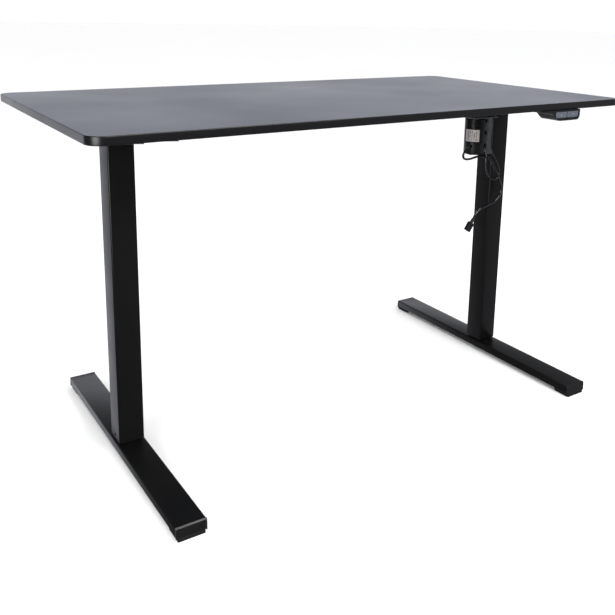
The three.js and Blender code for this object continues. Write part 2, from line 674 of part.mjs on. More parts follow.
// A frontal outline with square upper corners and round lower ones.
function trayOutline(left, right, bottom, top, leftRadius, rightRadius = leftRadius) {
  const shape = new THREE.Shape();
  shape.moveTo(left, top);
  shape.lineTo(left, bottom + leftRadius);
  shape.absarc(left + leftRadius, bottom + leftRadius, leftRadius, Math.PI, 1.5 * Math.PI, false);
  shape.lineTo(right - rightRadius, bottom);
  shape.absarc(right - rightRadius, bottom + rightRadius, rightRadius, -Math.PI / 2, 0, false);
  shape.lineTo(right, top);
  shape.closePath();
  return shape;
}

function handsetHousing() {
  const shell = slabY(handsetOutline(), handsetFront, handsetBack, 5);
  const w = HANDSET_WALL;
  const right = HANDSET.right - w - 1;
  const hollow = trayOutline(WINDOW.left, right, handsetBottom + w + 1, handsetTop + 1, CAVITY_CORNER);
  const cavity = slabY(hollow, handsetFront + WINDOW.frame, handsetBack - w, 5);
  const frame = trayOutline(WINDOW.left, WINDOW.right, windowBottom, windowTop, WINDOW.corner);
  const window = slabY(frame, handsetFront - 1, handsetFront + WINDOW.frame + 1, 5);
  const half = CABLE_WAY.width / 2;
  const cableWay = block(CABLE_WAY.x - half, CABLE_WAY.x + half, handsetBack - w - 1, handsetBack + 1,
    handsetTop - CABLE_WAY.height, handsetTop + 1);
  return cut(shell, cavity, window, cableWay);
}

function handsetLid() {
  const w = HANDSET_WALL + GAP;
  const back = handsetBack - w - CABLE_WAY.height;
  return block(WINDOW.left + GAP, HANDSET.right - w - 1, handsetFront + WINDOW.frame + GAP, back,
    handsetTop - 2, handsetTop);
}

function handsetBoard() {
  const y = handsetFront + BUTTON.sunk + BUTTON.depth + BUTTON.travel + 1.5;
  const inset = CAVITY_CORNER - 2;
  const plate = block(WINDOW.left + inset, WINDOW.right - inset, y, y + 1.6, windowBottom - 1, windowTop - 2);
  const middle = (WINDOW.left + WINDOW.right) / 2;
  const quarter = (WINDOW.right - WINDOW.left) / 4;
  const zMid = (windowBottom + windowTop) / 2;
  const keys = [-1, 1].map((s) => block(
    middle + s * quarter - 3, middle + s * quarter + 3, y - 1, y + 0.5, zMid - 3, zMid + 3));
  return join(plate, ...keys);
}

// One of the two keys. s is -1 for the left one. Its outer lower corner follows the window's.
function handsetKey(s) {
  const middle = (WINDOW.left + WINDOW.right) / 2;
  const g = BUTTON.gap;
  const near = middle + s * BUTTON.divider / 2;
  const far = s < 0 ? WINDOW.left + g : WINDOW.right - g;
  const radii = s < 0 ? [WINDOW.corner - g, BUTTON.corner] : [BUTTON.corner, WINDOW.corner - g];
  const [left, right] = s < 0 ? [far, near] : [near, far];
  const face = trayOutline(left, right, windowBottom + g, windowTop - g, ...radii);
  const front = handsetFront + BUTTON.sunk;
  return slabY(face, front, front + BUTTON.depth, 5);
}

function handsetParts() {
  add('handset_housing', handsetHousing(), blackPlastic);
  add('handset_lid', handsetLid(), blackPlastic);
  add('handset_board', handsetBoard(), circuitGreen);
  add('key_up', handsetKey(-1), buttonPlastic);
  add('key_down', handsetKey(1), buttonPlastic);
}

// ---------------------------------------------------------------- cords
// Points are the cords' chosen routes, in the desk's own axes before it is centred on its feet.
const powerRoute = [
  [391.7, -100.8, 589], [385, -104.5, 588.6], [377, -107, 586], [370, -107.5, 580], [367.3, -106, 572],
  [371, -103.5, 564.5], [379, -101, 559.5], [390, -98, 557.3], [405, -95, 557], [421, -93.5, 559],
  [436, -96, 561.5], [449, -99, 561],
  [460, -101, 557], [471, -103, 547], [480, -104, 533], [489, -104, 517], [500, -104, 499],
  [509, -104, 482], [513, -104, 466], [509, -104, 450], [497, -104, 438], [478, -104, 430.5],
  [455, -104, 424.5], [438, -104, 418.5], [425, -104, 408], [417.5, -104, 397],
];

const handsetRoute = [
  [446.6, -102, 586], [448.5, -104, 578], [448, -106.5, 566], [446.5, -108, 552], [447.5, -109, 536],
  [451, -109.5, 521], [460, -110, 506], [473, -110.2, 497.5], [485, -110.4, 498], [493, -110.5, 506],
  [494.5, -110.6, 517], [490, -110.8, 530], [482, -111, 545], [472, -111, 560], [463.5, -111, 574],
  [460, -110.5, 590], [459, -111, 610], [459, -111.5, 635], [459, -112, 650], [458.8, -114, 664],
  [458.5, -121, 673.5], [458, -132, 677], [457.5, -142, 683], [457, -149, 693], [456, -158, 702],
  [455, -172, 707.3], [454, -200, 708], [453, -240, 708], [452, -270, 708], [452, -288, 708],
  [452, -303.6, 708],
];

function cord(points, diameter, facets, steps) {
  const curve = new THREE.CatmullRomCurve3(points.map((p) => new THREE.Vector3(...p)), false, 'centripetal');
  const circle = new THREE.Shape();
  circle.absarc(0, 0, diameter / 2, 0, 2 * Math.PI, false);
  const section = new THREE.Shape(circle.getSpacedPoints(facets).slice(0, facets));
  return new THREE.ExtrudeGeometry(section, { steps, extrudePath: curve, bevelEnabled: false });
}

// Turns a piece modelled along +Z so that it runs from one point towards another.
function aim(mesh, from, towards) {
  const way = new THREE.Vector3(...towards).sub(new THREE.Vector3(...from)).normalize();
  mesh.quaternion.setFromUnitVectors(new THREE.Vector3(0, 0, 1), way);
  mesh.position.set(...from);
}

function cordRelief() {
  return turned([[0, 0], [RELIEF.root / 2, 0], [RELIEF.root / 2, 3], [RELIEF.tip / 2, RELIEF.length],
    [0, RELIEF.length]], 16);
}

// Inline two-pole connector: a tapered neck, then a flat body.
function connector() {
  const { neck, length, width, height } = CONNECTOR;
  const grip = turned([[0, 0], [3.6, 0], [5.2, neck + 1], [0, neck + 1]], 12);
  const body = extruded(roundedRectangle(width, height, 3), length).translate(0, 0, neck);
  const mouth = extruded(roundedRectangle(width - 5, height - 5, 1.5), 12).translate(0, 0, neck + length - 9);
  return cut(join(grip, body), mouth);
}

function cords() {
  add('power_cord', cord(powerRoute, POWER_CORD_DIAMETER, 8, 48), cordPvc);
  add('handset_cord', cord(handsetRoute, HANDSET_CORD_DIAMETER, 8, 58), cordPvc);
  const turn = THREE.MathUtils.degToRad(RELIEF.turn);
  const outward = new THREE.Vector3(Math.cos(turn), Math.sin(turn), 0);
  const root = new THREE.Vector3(motorX, motorY, motorCapTop - RELIEF.below)
    .addScaledVector(outward, MOTOR.diameter / 2 + GAP);
  aim(add('cord_relief', cordRelief(), blackPlastic), root.toArray(), root.clone().add(outward).toArray());
  const [before, last] = powerRoute.slice(-2);
  const onward = new THREE.Vector3(...last).sub(new THREE.Vector3(...before)).normalize();
  const start = new THREE.Vector3(...last).addScaledVector(onward, GAP);
  const ahead = start.clone().add(onward);
  aim(add('cord_connector', connector(), blackPlastic), start.toArray(), ahead.toArray());
}

add('board', board(), laminate);
for (const side of sides) {
  base(side);
  liftHead(side);
}
crossbeam();
motorUnit();
handsetParts();
cords();

export default desk;
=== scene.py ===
"""Looks of a height adjustable desk: surfaces, finishes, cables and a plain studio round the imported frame.

Metres throughout, in the frame's own axes: +X along the board, -Y towards the user, +Z up.
"""

import logging
from collections.abc import Sequence
from dataclasses import dataclass
from enum import Enum

import bmesh
import bpy
import numpy as np
from mathutils import Matrix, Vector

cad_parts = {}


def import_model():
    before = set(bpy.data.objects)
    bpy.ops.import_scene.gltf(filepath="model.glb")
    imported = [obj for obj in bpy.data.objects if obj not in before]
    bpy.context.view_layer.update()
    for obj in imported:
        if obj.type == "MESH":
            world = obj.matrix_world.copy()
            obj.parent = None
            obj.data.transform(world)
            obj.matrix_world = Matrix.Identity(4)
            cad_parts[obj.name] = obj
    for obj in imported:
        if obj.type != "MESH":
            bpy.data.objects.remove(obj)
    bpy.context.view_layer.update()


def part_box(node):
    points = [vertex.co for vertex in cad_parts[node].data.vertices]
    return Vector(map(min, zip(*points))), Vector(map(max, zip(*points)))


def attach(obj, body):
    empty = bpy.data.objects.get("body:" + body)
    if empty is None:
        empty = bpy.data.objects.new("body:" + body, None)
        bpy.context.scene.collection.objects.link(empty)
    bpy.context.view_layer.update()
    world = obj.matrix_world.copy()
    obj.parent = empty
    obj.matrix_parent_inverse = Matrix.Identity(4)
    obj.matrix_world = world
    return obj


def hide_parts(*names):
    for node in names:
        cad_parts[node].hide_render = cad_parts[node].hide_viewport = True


logging.basicConfig(level=logging.INFO, format="%(message)s")
LOG = logging.getLogger("desk")

MM = 0.001
SMOOTH_ANGLE = np.radians(32)

Pair = tuple[float, float]
Triple = tuple[float, float, float]
Loop = tuple[np.ndarray, np.ndarray]


# ------------------------------------------------------------------------------------ options
class Along(Enum):
    """Which world axis a profile's height runs along; the value orders local (a, b, height) as x, y, z."""

    X = (2, 0, 1)
    Y = (0, 2, 1)
    Z = (0, 1, 2)


class Ends(Enum):
    """How a skin of rings is closed."""

    FLAT = "a flat face on the first ring and on the last"
    JOINED = "the last ring joined to the first, as on a tube's wall"


class Side(Enum):
    """The two legs; the value is the sign of x."""

    LEFT = -1
    RIGHT = 1

    @property
    def word(self) -> str:
        """The side's name as the frame's nodes spell it."""
        return self.name.lower()


# ------------------------------------------------------------------------------------ materials
def linear(colour: str) -> tuple[float, float, float, float]:
    """Turns an sRGB colour into linear light.

    Args:
        colour: A hex colour such as "#2a2b2f".

    Returns:
        Linear red, green, blue and an alpha of 1.
    """
    channel = np.array([int(colour[i : i + 2], 16) for i in (1, 3, 5)]) / 255
    lit = np.where(channel <= 0.04045, channel / 12.92, ((channel + 0.055) / 1.055) ** 2.4)
    return (*lit.tolist(), 1.0)


def add_node(tree: bpy.types.NodeTree, kind: str, inputs: dict | None = None, **settings) -> bpy.types.Node:
    """Adds a shader node.

    Args:
        tree: The node tree it goes into.
        kind: Its type name.
        inputs: Socket name or number to a value, or to an output socket that is linked to it.
        **settings: The node's own properties.

    Returns:
        The new node.
    """
    node = tree.nodes.new(kind)
    for key, value in settings.items():
        setattr(node, key, value)
    for key, value in (inputs or {}).items():
        if isinstance(value, bpy.types.NodeSocket):
            tree.links.new(value, node.inputs[key])
        else:
            node.inputs[key].default_value = value
    return node


@dataclass(frozen=True)
class Finish:
    """A finish: a base material and the way its surface was made.

    Attributes:
        name: The material's name.
        colour: The main sRGB colour.
        shade: The colour that its soft patches drift to.
        roughness: Roughness of the smoothest patches.
        spread: How much rougher the roughest patches are.
        metallic: 1 for bare metal.
        patch: Size of the patches.
        grain: Size of the surface's relief.
        relief: Height of that relief.
        stretch: How much longer the grain is along x, y and z, as on brushed or turned metal.
        coat: Weight of a clear coat.
        gloss: Strength of the mirrored light, 0.5 for an ordinary lacquer.
    """

    name: str
    colour: str
    shade: str
    roughness: float
    spread: float = 0.06
    metallic: float = 0.0
    patch: float = 45 * MM
    grain: float = 1.4 * MM
    relief: float = 0.015 * MM
    stretch: Triple = (1.0, 1.0, 1.0)
    coat: float = 0.0
    gloss: float = 0.5

    def pattern(self, tree: bpy.types.NodeTree, place: bpy.types.NodeSocket) -> bpy.types.NodeSocket:
        """The base colour: soft patches between the two colours.

        Args:
            tree: The material's node tree.
            place: Object coordinates.

        Returns:
            The colour socket.
        """
        soft = {"Vector": place, "Scale": 1 / self.patch, "Detail": 4.0}
        patches = add_node(tree, "ShaderNodeTexNoise", soft)
        mix = add_node(
            tree,
            "ShaderNodeMix",
            {0: patches.outputs["Fac"], 6: linear(self.colour), 7: linear(self.shade)},
            data_type="RGBA",
        )
        return mix.outputs[2]

    def material(self) -> bpy.types.Material:
        """The material itself, made the first time it is asked for."""
        known = bpy.data.materials.get(self.name)
        if known:
            return known
        made = bpy.data.materials.new(self.name)
        made.use_nodes = True
        tree = made.node_tree
        shader = tree.nodes["Principled BSDF"]
        place = add_node(tree, "ShaderNodeTexCoord").outputs["Object"]
        tree.links.new(self.pattern(tree, place), shader.inputs["Base Color"])
        longer = tuple(1 / s for s in self.stretch)
        drawn = add_node(tree, "ShaderNodeMapping", {"Vector": place, "Scale": longer}).outputs["Vector"]
        fine = {"Vector": drawn, "Scale": 1 / self.grain, "Detail": 3.0}
        grain = add_node(tree, "ShaderNodeTexNoise", fine)
        broad = {"Vector": drawn, "Scale": 0.4 / self.patch, "Detail": 5.0}
        smudge = add_node(tree, "ShaderNodeTexNoise", broad)
        rough = add_node(
            tree,
            "ShaderNodeMapRange",
            {"Value": smudge.outputs["Fac"], "From Min": 0.3, "From Max": 0.7,
             "To Min": self.roughness, "To Max": self.roughness + self.spread},
        )
        tree.links.new(rough.outputs["Result"], shader.inputs["Roughness"])
        bump = add_node(
            tree, "ShaderNodeBump", {"Height": grain.outputs["Fac"], "Distance": self.relief, "Strength": 1.0}
        )
        tree.links.new(bump.outputs["Normal"], shader.inputs["Normal"])
        shader.inputs["Metallic"].default_value = self.metallic
        shader.inputs["Coat Weight"].default_value = self.coat
        shader.inputs["Specular IOR Level"].default_value = self.gloss
        made.diffuse_color = linear(self.colour)
        return made


@dataclass(frozen=True)
class Laminate(Finish):
    """Melamine-faced board: printed paper in hard resin, pressed against a finely pearled plate.

    Attributes:
        fleck: Size of the paler flecks in the paper.
        fleck_colour: Their colour.
        fleck_weight: How fully the strongest of them show.
    """

    fleck: float = 2.2 * MM
    fleck_colour: str = "#4a4b52"
    fleck_weight: float = 0.35

    def pattern(self, tree: bpy.types.NodeTree, place: bpy.types.NodeSocket) -> bpy.types.NodeSocket:
        """Soft patches with sparse paler flecks, drawn 2 mm across so that they show.

        Args:
            tree: The material's node tree.
            place: Object coordinates.

        Returns:
            The colour socket.
        """
        ground = super().pattern(tree, place)
        small = {"Vector": place, "Scale": 1 / self.fleck, "Detail": 1.0}
        speck = add_node(tree, "ShaderNodeTexNoise", small)
        few = add_node(
            tree, "ShaderNodeMapRange",
            {"Value": speck.outputs["Fac"], "From Min": 0.62, "From Max": 0.78, "To Min": 0.0,
             "To Max": self.fleck_weight},
        )
        both = {0: few.outputs["Result"], 6: ground, 7: linear(self.fleck_colour)}
        mix = add_node(tree, "ShaderNodeMix", both, data_type="RGBA")
        return mix.outputs[2]


@dataclass(frozen=True)
class BlankPlate(Finish):
    """A coated paper type plate with columns of printed marks instead of words.

    Attributes:
        ink: Colour of the printed marks.
        filled: Share of the marks that are printed.
        grid: Columns across the plate, and marks that would fill a column.
        mark: Where a mark begins and ends in its cell, across and up.
        field: Where the printing begins and ends on the plate.
    """

    ink: str = "#2f2f33"
    filled: float = 0.72
    grid: Pair = (7.0, 11.0)
    mark: tuple[Pair, Pair] = ((0.25, 0.68), (0.08, 0.92))
    field: Pair = (0.09, 0.91)

    def pattern(self, tree: bpy.types.NodeTree, place: bpy.types.NodeSocket) -> bpy.types.NodeSocket:
        """Marks on a grid in the piece's own UV map: a cell is printed where a random number says so.

        Args:
            tree: The material's node tree.
            place: Object coordinates, for the paper's mottle.

        Returns:
            The colour socket.
        """
        paper = super().pattern(tree, place)
        flat = add_node(tree, "ShaderNodeUVMap").outputs["UV"]
        split = add_node(tree, "ShaderNodeSeparateXYZ", {"Vector": flat})
        cell, masks = {}, []
        for side, count, limits in zip("XY", self.grid, self.mark):
            along = split.outputs[side]
            number = add_node(tree, "ShaderNodeMath", {0: along, 1: count}, operation="MULTIPLY").outputs[0]
            cell[side] = add_node(tree, "ShaderNodeMath", {0: number}, operation="FLOOR").outputs[0]
            part = add_node(tree, "ShaderNodeMath", {0: number}, operation="FRACT").outputs[0]
            for value, (low, high) in ((part, limits), (along, self.field)):
                span = {0: value, 1: (low + high) / 2, 2: (high - low) / 2}
                masks.append(add_node(tree, "ShaderNodeMath", span, operation="COMPARE").outputs[0])
        corner = add_node(tree, "ShaderNodeCombineXYZ", cell).outputs[0]
        chance = add_node(tree, "ShaderNodeTexWhiteNoise", {"Vector": corner}, noise_dimensions="2D")
        drawn = {0: chance.outputs["Value"], 1: self.filled}
        printed = add_node(tree, "ShaderNodeMath", drawn, operation="LESS_THAN").outputs[0]
        for mask in masks:
            printed = add_node(tree, "ShaderNodeMath", {0: printed, 1: mask}, operation="MULTIPLY").outputs[0]
        mix = add_node(tree, "ShaderNodeMix", {0: printed, 6: paper, 7: linear(self.ink)}, data_type="RGBA")
        return mix.outputs[2]


@dataclass(frozen=True)
class Winding(Finish):
    """Enamelled wire laid side by side on a steel stack: bright turns with dark gaps, the gaps' darkness
    painted shade.

    Attributes:
        wire: Distance from one turn to the next.
    """

    wire: float = 1.1 * MM

    def pattern(self, tree: bpy.types.NodeTree, place: bpy.types.NodeSocket) -> bpy.types.NodeSocket:
        """Stripes along z, one to each turn of wire, darkening to the shade colour in the gaps as painted
        shade.

        Args:
            tree: The material's node tree.
            place: Object coordinates.

        Returns:
            The colour socket.
        """
        turns = add_node(
            tree, "ShaderNodeTexWave", {"Vector": place, "Scale": 0.314 / self.wire, "Distortion": 0.6},
            bands_direction="Z",
        )
        # Painted shade: the bands run from the copper colour on a turn to the shade colour in the gap.
        mix = add_node(
            tree, "ShaderNodeMix", {0: turns.outputs["Fac"], 6: linear(self.shade), 7: linear(self.colour)},
            data_type="RGBA",
        )
        return mix.outputs[2]


# Melamine board, charcoal paper in hard resin: a satin sheen that turns bright at a low angle.
LAMINATE = Laminate("melamine_laminate", "#2b3040", "#272c3a", 0.27, spread=0.07, patch=160 * MM,
                    grain=1.8 * MM, relief=0.006 * MM)
# ABS edging, extruded and glued on: the board's own charcoal, coloured far darker than the faces as painted
# shade on the board's sides; a touch smoother than the faces.
EDGING_PAINTED_SHADE = Finish("abs_edging_painted_shade", "#0d0d10", "#0a0a0c", 0.28, spread=0.08, patch=60 * MM, grain=2.0 * MM,
                relief=0.006 * MM)
# Polyester powder coat with a fine texture, baked on steel: black, with a fine broken sheen.
POWDER_COAT = Finish("black_powder_coat", "#0c0c0d", "#090909", 0.28, spread=0.08, patch=35 * MM,
                     grain=2.2 * MM, relief=0.06 * MM, gloss=0.36)
# Glass-filled nylon, spark-textured mould: black and matt, a little greyer than the paint.
NYLON = Finish("moulded_nylon", "#101011", "#0c0c0d", 0.34, spread=0.1, patch=14 * MM, grain=0.9 * MM,
               relief=0.02 * MM)
# Thermoplastic rubber, moulded: the dullest black on the desk.
RUBBER = Finish("thermoplastic_rubber", "#101010", "#0b0b0b", 0.66, spread=0.12, patch=12 * MM,
                grain=0.8 * MM, relief=0.02 * MM)
# Painted steel motor can: satin black enamel over drawn steel.
ENAMEL = Finish("black_enamel", "#0c0c0d", "#09090a", 0.34, spread=0.1, patch=20 * MM, grain=3.0 * MM,
                relief=0.01 * MM, gloss=0.3)
# ABS key caps, moulded in slate grey with a fine matt texture.
KEY_PLASTIC = Finish("slate_abs", "#4a5058", "#434850", 0.38, spread=0.08, patch=9 * MM, grain=0.7 * MM,
                     relief=0.01 * MM)
# Pale grey pad-printed ink for the arrows, a little worn.
INK = Finish("grey_ink", "#6c7279", "#636970", 0.5, patch=4 * MM, grain=0.5 * MM)
# Cold drawn steel: grey, with lengthwise draw lines.
DRAWN_STEEL = Finish("drawn_steel", "#a3a6a9", "#8b8e92", 0.28, spread=0.14, metallic=1.0, patch=18 * MM,
                     grain=0.5 * MM, relief=0.01 * MM, stretch=(30.0, 1.0, 1.0))
# Ground spindle steel under a film of grease.
SPINDLE_STEEL = Finish("greased_spindle_steel", "#8f9296", "#6f6c64", 0.22, spread=0.16, metallic=1.0,
                       patch=14 * MM, grain=0.6 * MM, relief=0.012 * MM, stretch=(1.0, 1.0, 20.0), coat=0.3)
# Zinc-plated steel, blue passivated: pale with a faint warm bloom.
ZINC = Finish("zinc_plate", "#a9abac", "#999890", 0.3, spread=0.15, metallic=1.0, patch=5 * MM,
              grain=0.7 * MM, relief=0.008 * MM)
# Black-passivated zinc on pressed steel: dark grey with a thin metallic sheen.
BLACK_ZINC = Finish("black_passivated_zinc", "#97999b", "#858685", 0.4, spread=0.1, metallic=1.0,
                    patch=9 * MM, grain=0.8 * MM, relief=0.01 * MM)
# Blackened steel screws: dark oxide with a slight oil sheen.
BLACK_OXIDE = Finish("black_oxide", "#2c2c2e", "#222223", 0.34, spread=0.1, metallic=0.8, patch=5 * MM,
                     grain=0.7 * MM, relief=0.008 * MM)
# Free-cutting brass, turned.
BRASS = Finish("turned_brass", "#b8924a", "#a37e3b", 0.26, spread=0.12, metallic=1.0, patch=8 * MM,
               grain=0.4 * MM, relief=0.01 * MM, stretch=(12.0, 12.0, 1.0))
# Acetal glides, natural white: waxy and slightly uneven.
ACETAL = Finish("natural_acetal", "#dcdad0", "#cfccc0", 0.36, spread=0.1, patch=16 * MM, grain=1.0 * MM,
                relief=0.01 * MM)
# Pressure die-cast aluminium: dull grey with a cast skin.
DIE_CAST = Finish("die_cast_aluminium", "#8b8d90", "#7b7d80", 0.46, spread=0.14, metallic=1.0, patch=10 * MM,
                  grain=1.1 * MM, relief=0.05 * MM)
# Sintered ferrite: charcoal and matt.
FERRITE = Finish("sintered_ferrite", "#37383c", "#2b2c2f", 0.7, patch=9 * MM, grain=0.8 * MM,
                 relief=0.03 * MM)
# Copper windings on the rotor's steel stack, with painted shade in the gaps between turns.
COPPER = Winding("enamelled_copper", "#b8703c", "#5c3420", 0.32, metallic=1.0, grain=0.6 * MM)
# Glass-epoxy circuit board under green solder mask.
SOLDER_MASK = Finish("solder_mask", "#1d6a3f", "#17512f", 0.3, spread=0.1, patch=3 * MM, grain=0.5 * MM,
                     relief=0.02 * MM, coat=0.3)
# The same board under black solder mask, as behind keys, where nothing should catch the eye.
BLACK_MASK = Finish("black_solder_mask", "#0d0f0e", "#0a0b0b", 0.4, spread=0.1, patch=3 * MM, grain=0.5 * MM,
                    relief=0.02 * MM)
# Coated label stock, warm grey.
PLATE = BlankPlate("blank_type_plate", "#97938f", "#8b8784", 0.42, patch=12 * MM, grain=0.6 * MM,
                   relief=0.005 * MM)
# Soft PVC sheath, extruded: black, smooth and shiny, with a glossy skin from the die.
PVC = Finish("pvc_sheath", "#111112", "#0d0d0e", 0.16, spread=0.08, patch=14 * MM, grain=0.9 * MM,
             relief=0.01 * MM, coat=0.8)
# Matt paper sweep under the desk.
PAPER_FLOOR = Finish("paper_floor", "#fbfbfb", "#f9f9f9", 0.7, patch=900 * MM, grain=6 * MM, relief=0.02 * MM)


# ------------------------------------------------------------------------------------ surfaces
def rounded_loop(width: float, height: float, radius: float | Sequence[float], steps: int = 7) -> Loop:
    """A rectangle with round corners, anticlockwise from its right side.

    Each corner's points are its centre plus radius times (cos t, sin t) over a quarter turn, and the
    normals are those same (cos t, sin t).

    Args:
        width: Size along the first axis.
        height: Size along the second.
        radius: Corner radius, or four of them: upper right, upper left, lower left, lower right.
        steps: Faces round each corner.

    Returns:
        Points and outward normals, each (4 * (steps + 1), 2).
    """
    t = np.linspace(0, np.pi / 2, steps + 1)[None, :] + np.arange(4)[:, None] * np.pi / 2
    out = np.stack([np.cos(t), np.sin(t)], axis=-1)
    round_by = np.broadcast_to(np.asarray(radius, float), 4)[:, None, None]
    quarter = np.array([[1, 1], [-1, 1], [-1, -1], [1, -1]])[:, None, :]
    centre = quarter * (np.array([width / 2, height / 2]) - round_by)
    return (centre + round_by * out).reshape(-1, 2), out.reshape(-1, 2)


def round_loop(radius: float, steps: int = 48) -> Loop:
    """A circle: points are radius times (cos t, sin t), and the normals are (cos t, sin t)."""
    t = np.linspace(0, 2 * np.pi, steps, endpoint=False)
    out = np.stack([np.cos(t), np.sin(t)], axis=-1)
    return radius * out, out


def carried(
    loop: Loop, profile: np.ndarray, along: Along = Along.Z, centre: Triple = (0, 0, 0)
) -> np.ndarray:
    """A profile carried round a loop: point(i, j) = loop(j) - inset(i) * normal(j), at height(i).

    Args:
        loop: Points and outward normals.
        profile: Rows of (inset, height).
        along: The world axis that height runs along.
        centre: Where the loop's middle lies.

    Returns:
        Rings of points, (rows, loop points, 3).
    """
    points, normals = loop
    flat = points[None] - profile[:, 0, None, None] * normals[None]
    height = np.broadcast_to(profile[:, 1, None, None], (*flat.shape[:2], 1))
    return np.concatenate([flat, height], axis=-1)[..., list(along.value)] + np.array(centre)


def edge(radius: float, height: float, up: bool, steps: int = 3) -> np.ndarray:
    """The profile round an outer edge: inset = r (1 - cos t), and r (1 - sin t) short of the height.

    Args:
        radius: Radius of the edge.
        height: Height of the flat face beyond it.
        up: True where that face looks along the profile's height, False where it looks back.
        steps: Faces round the edge.

    Returns:
        Rows of (inset, height), from low to high.
    """
    t = np.linspace(0, np.pi / 2, steps + 1)
    inset = radius * (1 - np.cos(t))
    if up:
        return np.stack([inset, height - radius * (1 - np.sin(t))], axis=-1)
    return np.stack([inset, height + radius * (1 - np.sin(t))], axis=-1)[::-1]


def slab(low: float, high: float, radius: float, steps: int = 3) -> np.ndarray:
    """The profile of a solid piece from low to high with both outer edges rounded."""
    return np.concatenate([edge(radius, low, False, steps), edge(radius, high, True, steps)])


def pipe(low: float, high: float, wall: float, radius: float) -> np.ndarray:
    """The closed profile of a tube: up its outside with rounded rims, then down its inside."""
    rims = slab(low, high, radius, 2)
    inside = np.array([[wall - radius / 2, high], [wall, high - radius / 2], [wall, low + radius / 2],
                       [wall - radius / 2, low]])
    return np.concatenate([rims, inside])


def turned(profile: list[Pair], centre: Pair = (0, 0), steps: int = 48) -> np.ndarray:
    """A surface of revolution: point(i, j) = (r(i) cos t(j), r(i) sin t(j), z(i)).

    Args:
        profile: Rows of (radius, height).
        centre: The axis's x and y.
        steps: Points round the axis.

    Returns:
        Rings of points.
    """
    rows = np.array(profile, float)
    t = np.linspace(0, 2 * np.pi, steps, endpoint=False)
    out = np.stack([np.cos(t), np.sin(t)], axis=-1)
    flat = rows[:, 0, None, None] * out[None] + np.array(centre)
    height = np.broadcast_to(rows[:, 1, None, None], (*flat.shape[:2], 1))
    return np.concatenate([flat, height], axis=-1)


def prism(outline: list[Pair], low: float, high: float, along: Along = Along.X) -> np.ndarray:
    """An outline carried straight from low to high: two rings, at height low and high."""
    points = np.array(outline, float)
    rings = [np.column_stack([points, np.full(len(points), h)]) for h in (low, high)]
    return np.stack(rings)[..., list(along.value)]


def aimed(rings: np.ndarray, origin: Triple, towards: np.ndarray) -> np.ndarray:
    """Turns rings made along +Z to run from origin along another direction.

    Args:
        rings: Rings round the z axis.
        origin: Where their z = 0 goes.
        towards: The direction that +Z turns to.

    Returns:
        The turned rings.
    """
    way = towards / np.linalg.norm(towards)
    first = np.cross([0.0, 0.0, 1.0] if abs(way[2]) < 0.9 else [1.0, 0.0, 0.0], way)
    first /= np.linalg.norm(first)
    return rings @ np.stack([first, np.cross(way, first), way]) + np.array(origin)


def screw_head(radius: float, height: float) -> np.ndarray:
    """A pan head with a cross recess, looking down: rings from its middle to its rim, then its seat.

    The dome is height * (1 - 0.45 (r / R)^2), less a recess where the smaller of |x| and |y| is under
    an arm's half width and the larger is under the recess's reach.

    Args:
        radius: The head's radius, R.
        height: Its height at the middle.

    Returns:
        Rings about the origin, the seat at z = 0 and the dome towards -Z.
    """
    r = np.concatenate([np.linspace(0.04, 0.62, 7), [0.8, 0.95, 1.0]]) * radius
    t = np.linspace(0, 2 * np.pi, 32, endpoint=False) + np.pi / 32
    x, y = r[:, None] * np.cos(t), r[:, None] * np.sin(t)
    narrow, wide = np.minimum(abs(x), abs(y)), np.maximum(abs(x), abs(y))
    arm = np.clip((0.17 * radius - narrow) / (0.06 * radius), 0, 1)
    reach = np.clip((0.58 * radius - wide) / (0.08 * radius), 0, 1)
    dome = height * (1 - 0.45 * (r / radius) ** 2)[:, None] - 0.5 * height * arm * reach
    seat = np.stack([x[-1], y[-1], np.zeros(len(t))], axis=-1)[None]
    return np.concatenate([np.stack([x, y, -dome], axis=-1), seat])


def smooth_path(points: np.ndarray, steps: int = 10) -> np.ndarray:
    """A centripetal Catmull-Rom curve through points.

    Each span is the cubic whose end slopes come from its neighbours, weighted by the square root of
    the distances between them; a mirrored point stands in beyond each end.

    Args:
        points: The points it passes through, (n, 3).
        steps: Pieces to each span.

    Returns:
        Points along the curve.
    """
    p = np.concatenate([[2 * points[0] - points[1]], points, [2 * points[-1] - points[-2]]])
    gap = np.sqrt(np.linalg.norm(np.diff(p, axis=0), axis=1))[:, None]
    before, here, after = gap[:-2], gap[1:-1], gap[2:]
    p0, p1, p2, p3 = p[:-3], p[1:-2], p[2:-1], p[3:]
    start = ((p1 - p0) / before - (p2 - p0) / (before + here) + (p2 - p1) / here) * here
    end = ((p2 - p1) / here - (p3 - p1) / (here + after) + (p3 - p2) / after) * here
    t = np.linspace(0, 1, steps, endpoint=False)[None, :, None]
    cubic = 2 * p1 - 2 * p2
    a = (cubic + start + end)[:, None]
    b = (-3 * p1 + 3 * p2 - 2 * start - end)[:, None]
    curve = ((a * t + b) * t + start[:, None]) * t + p1[:, None]
    return np.concatenate([curve.reshape(-1, 3), points[-1:]])


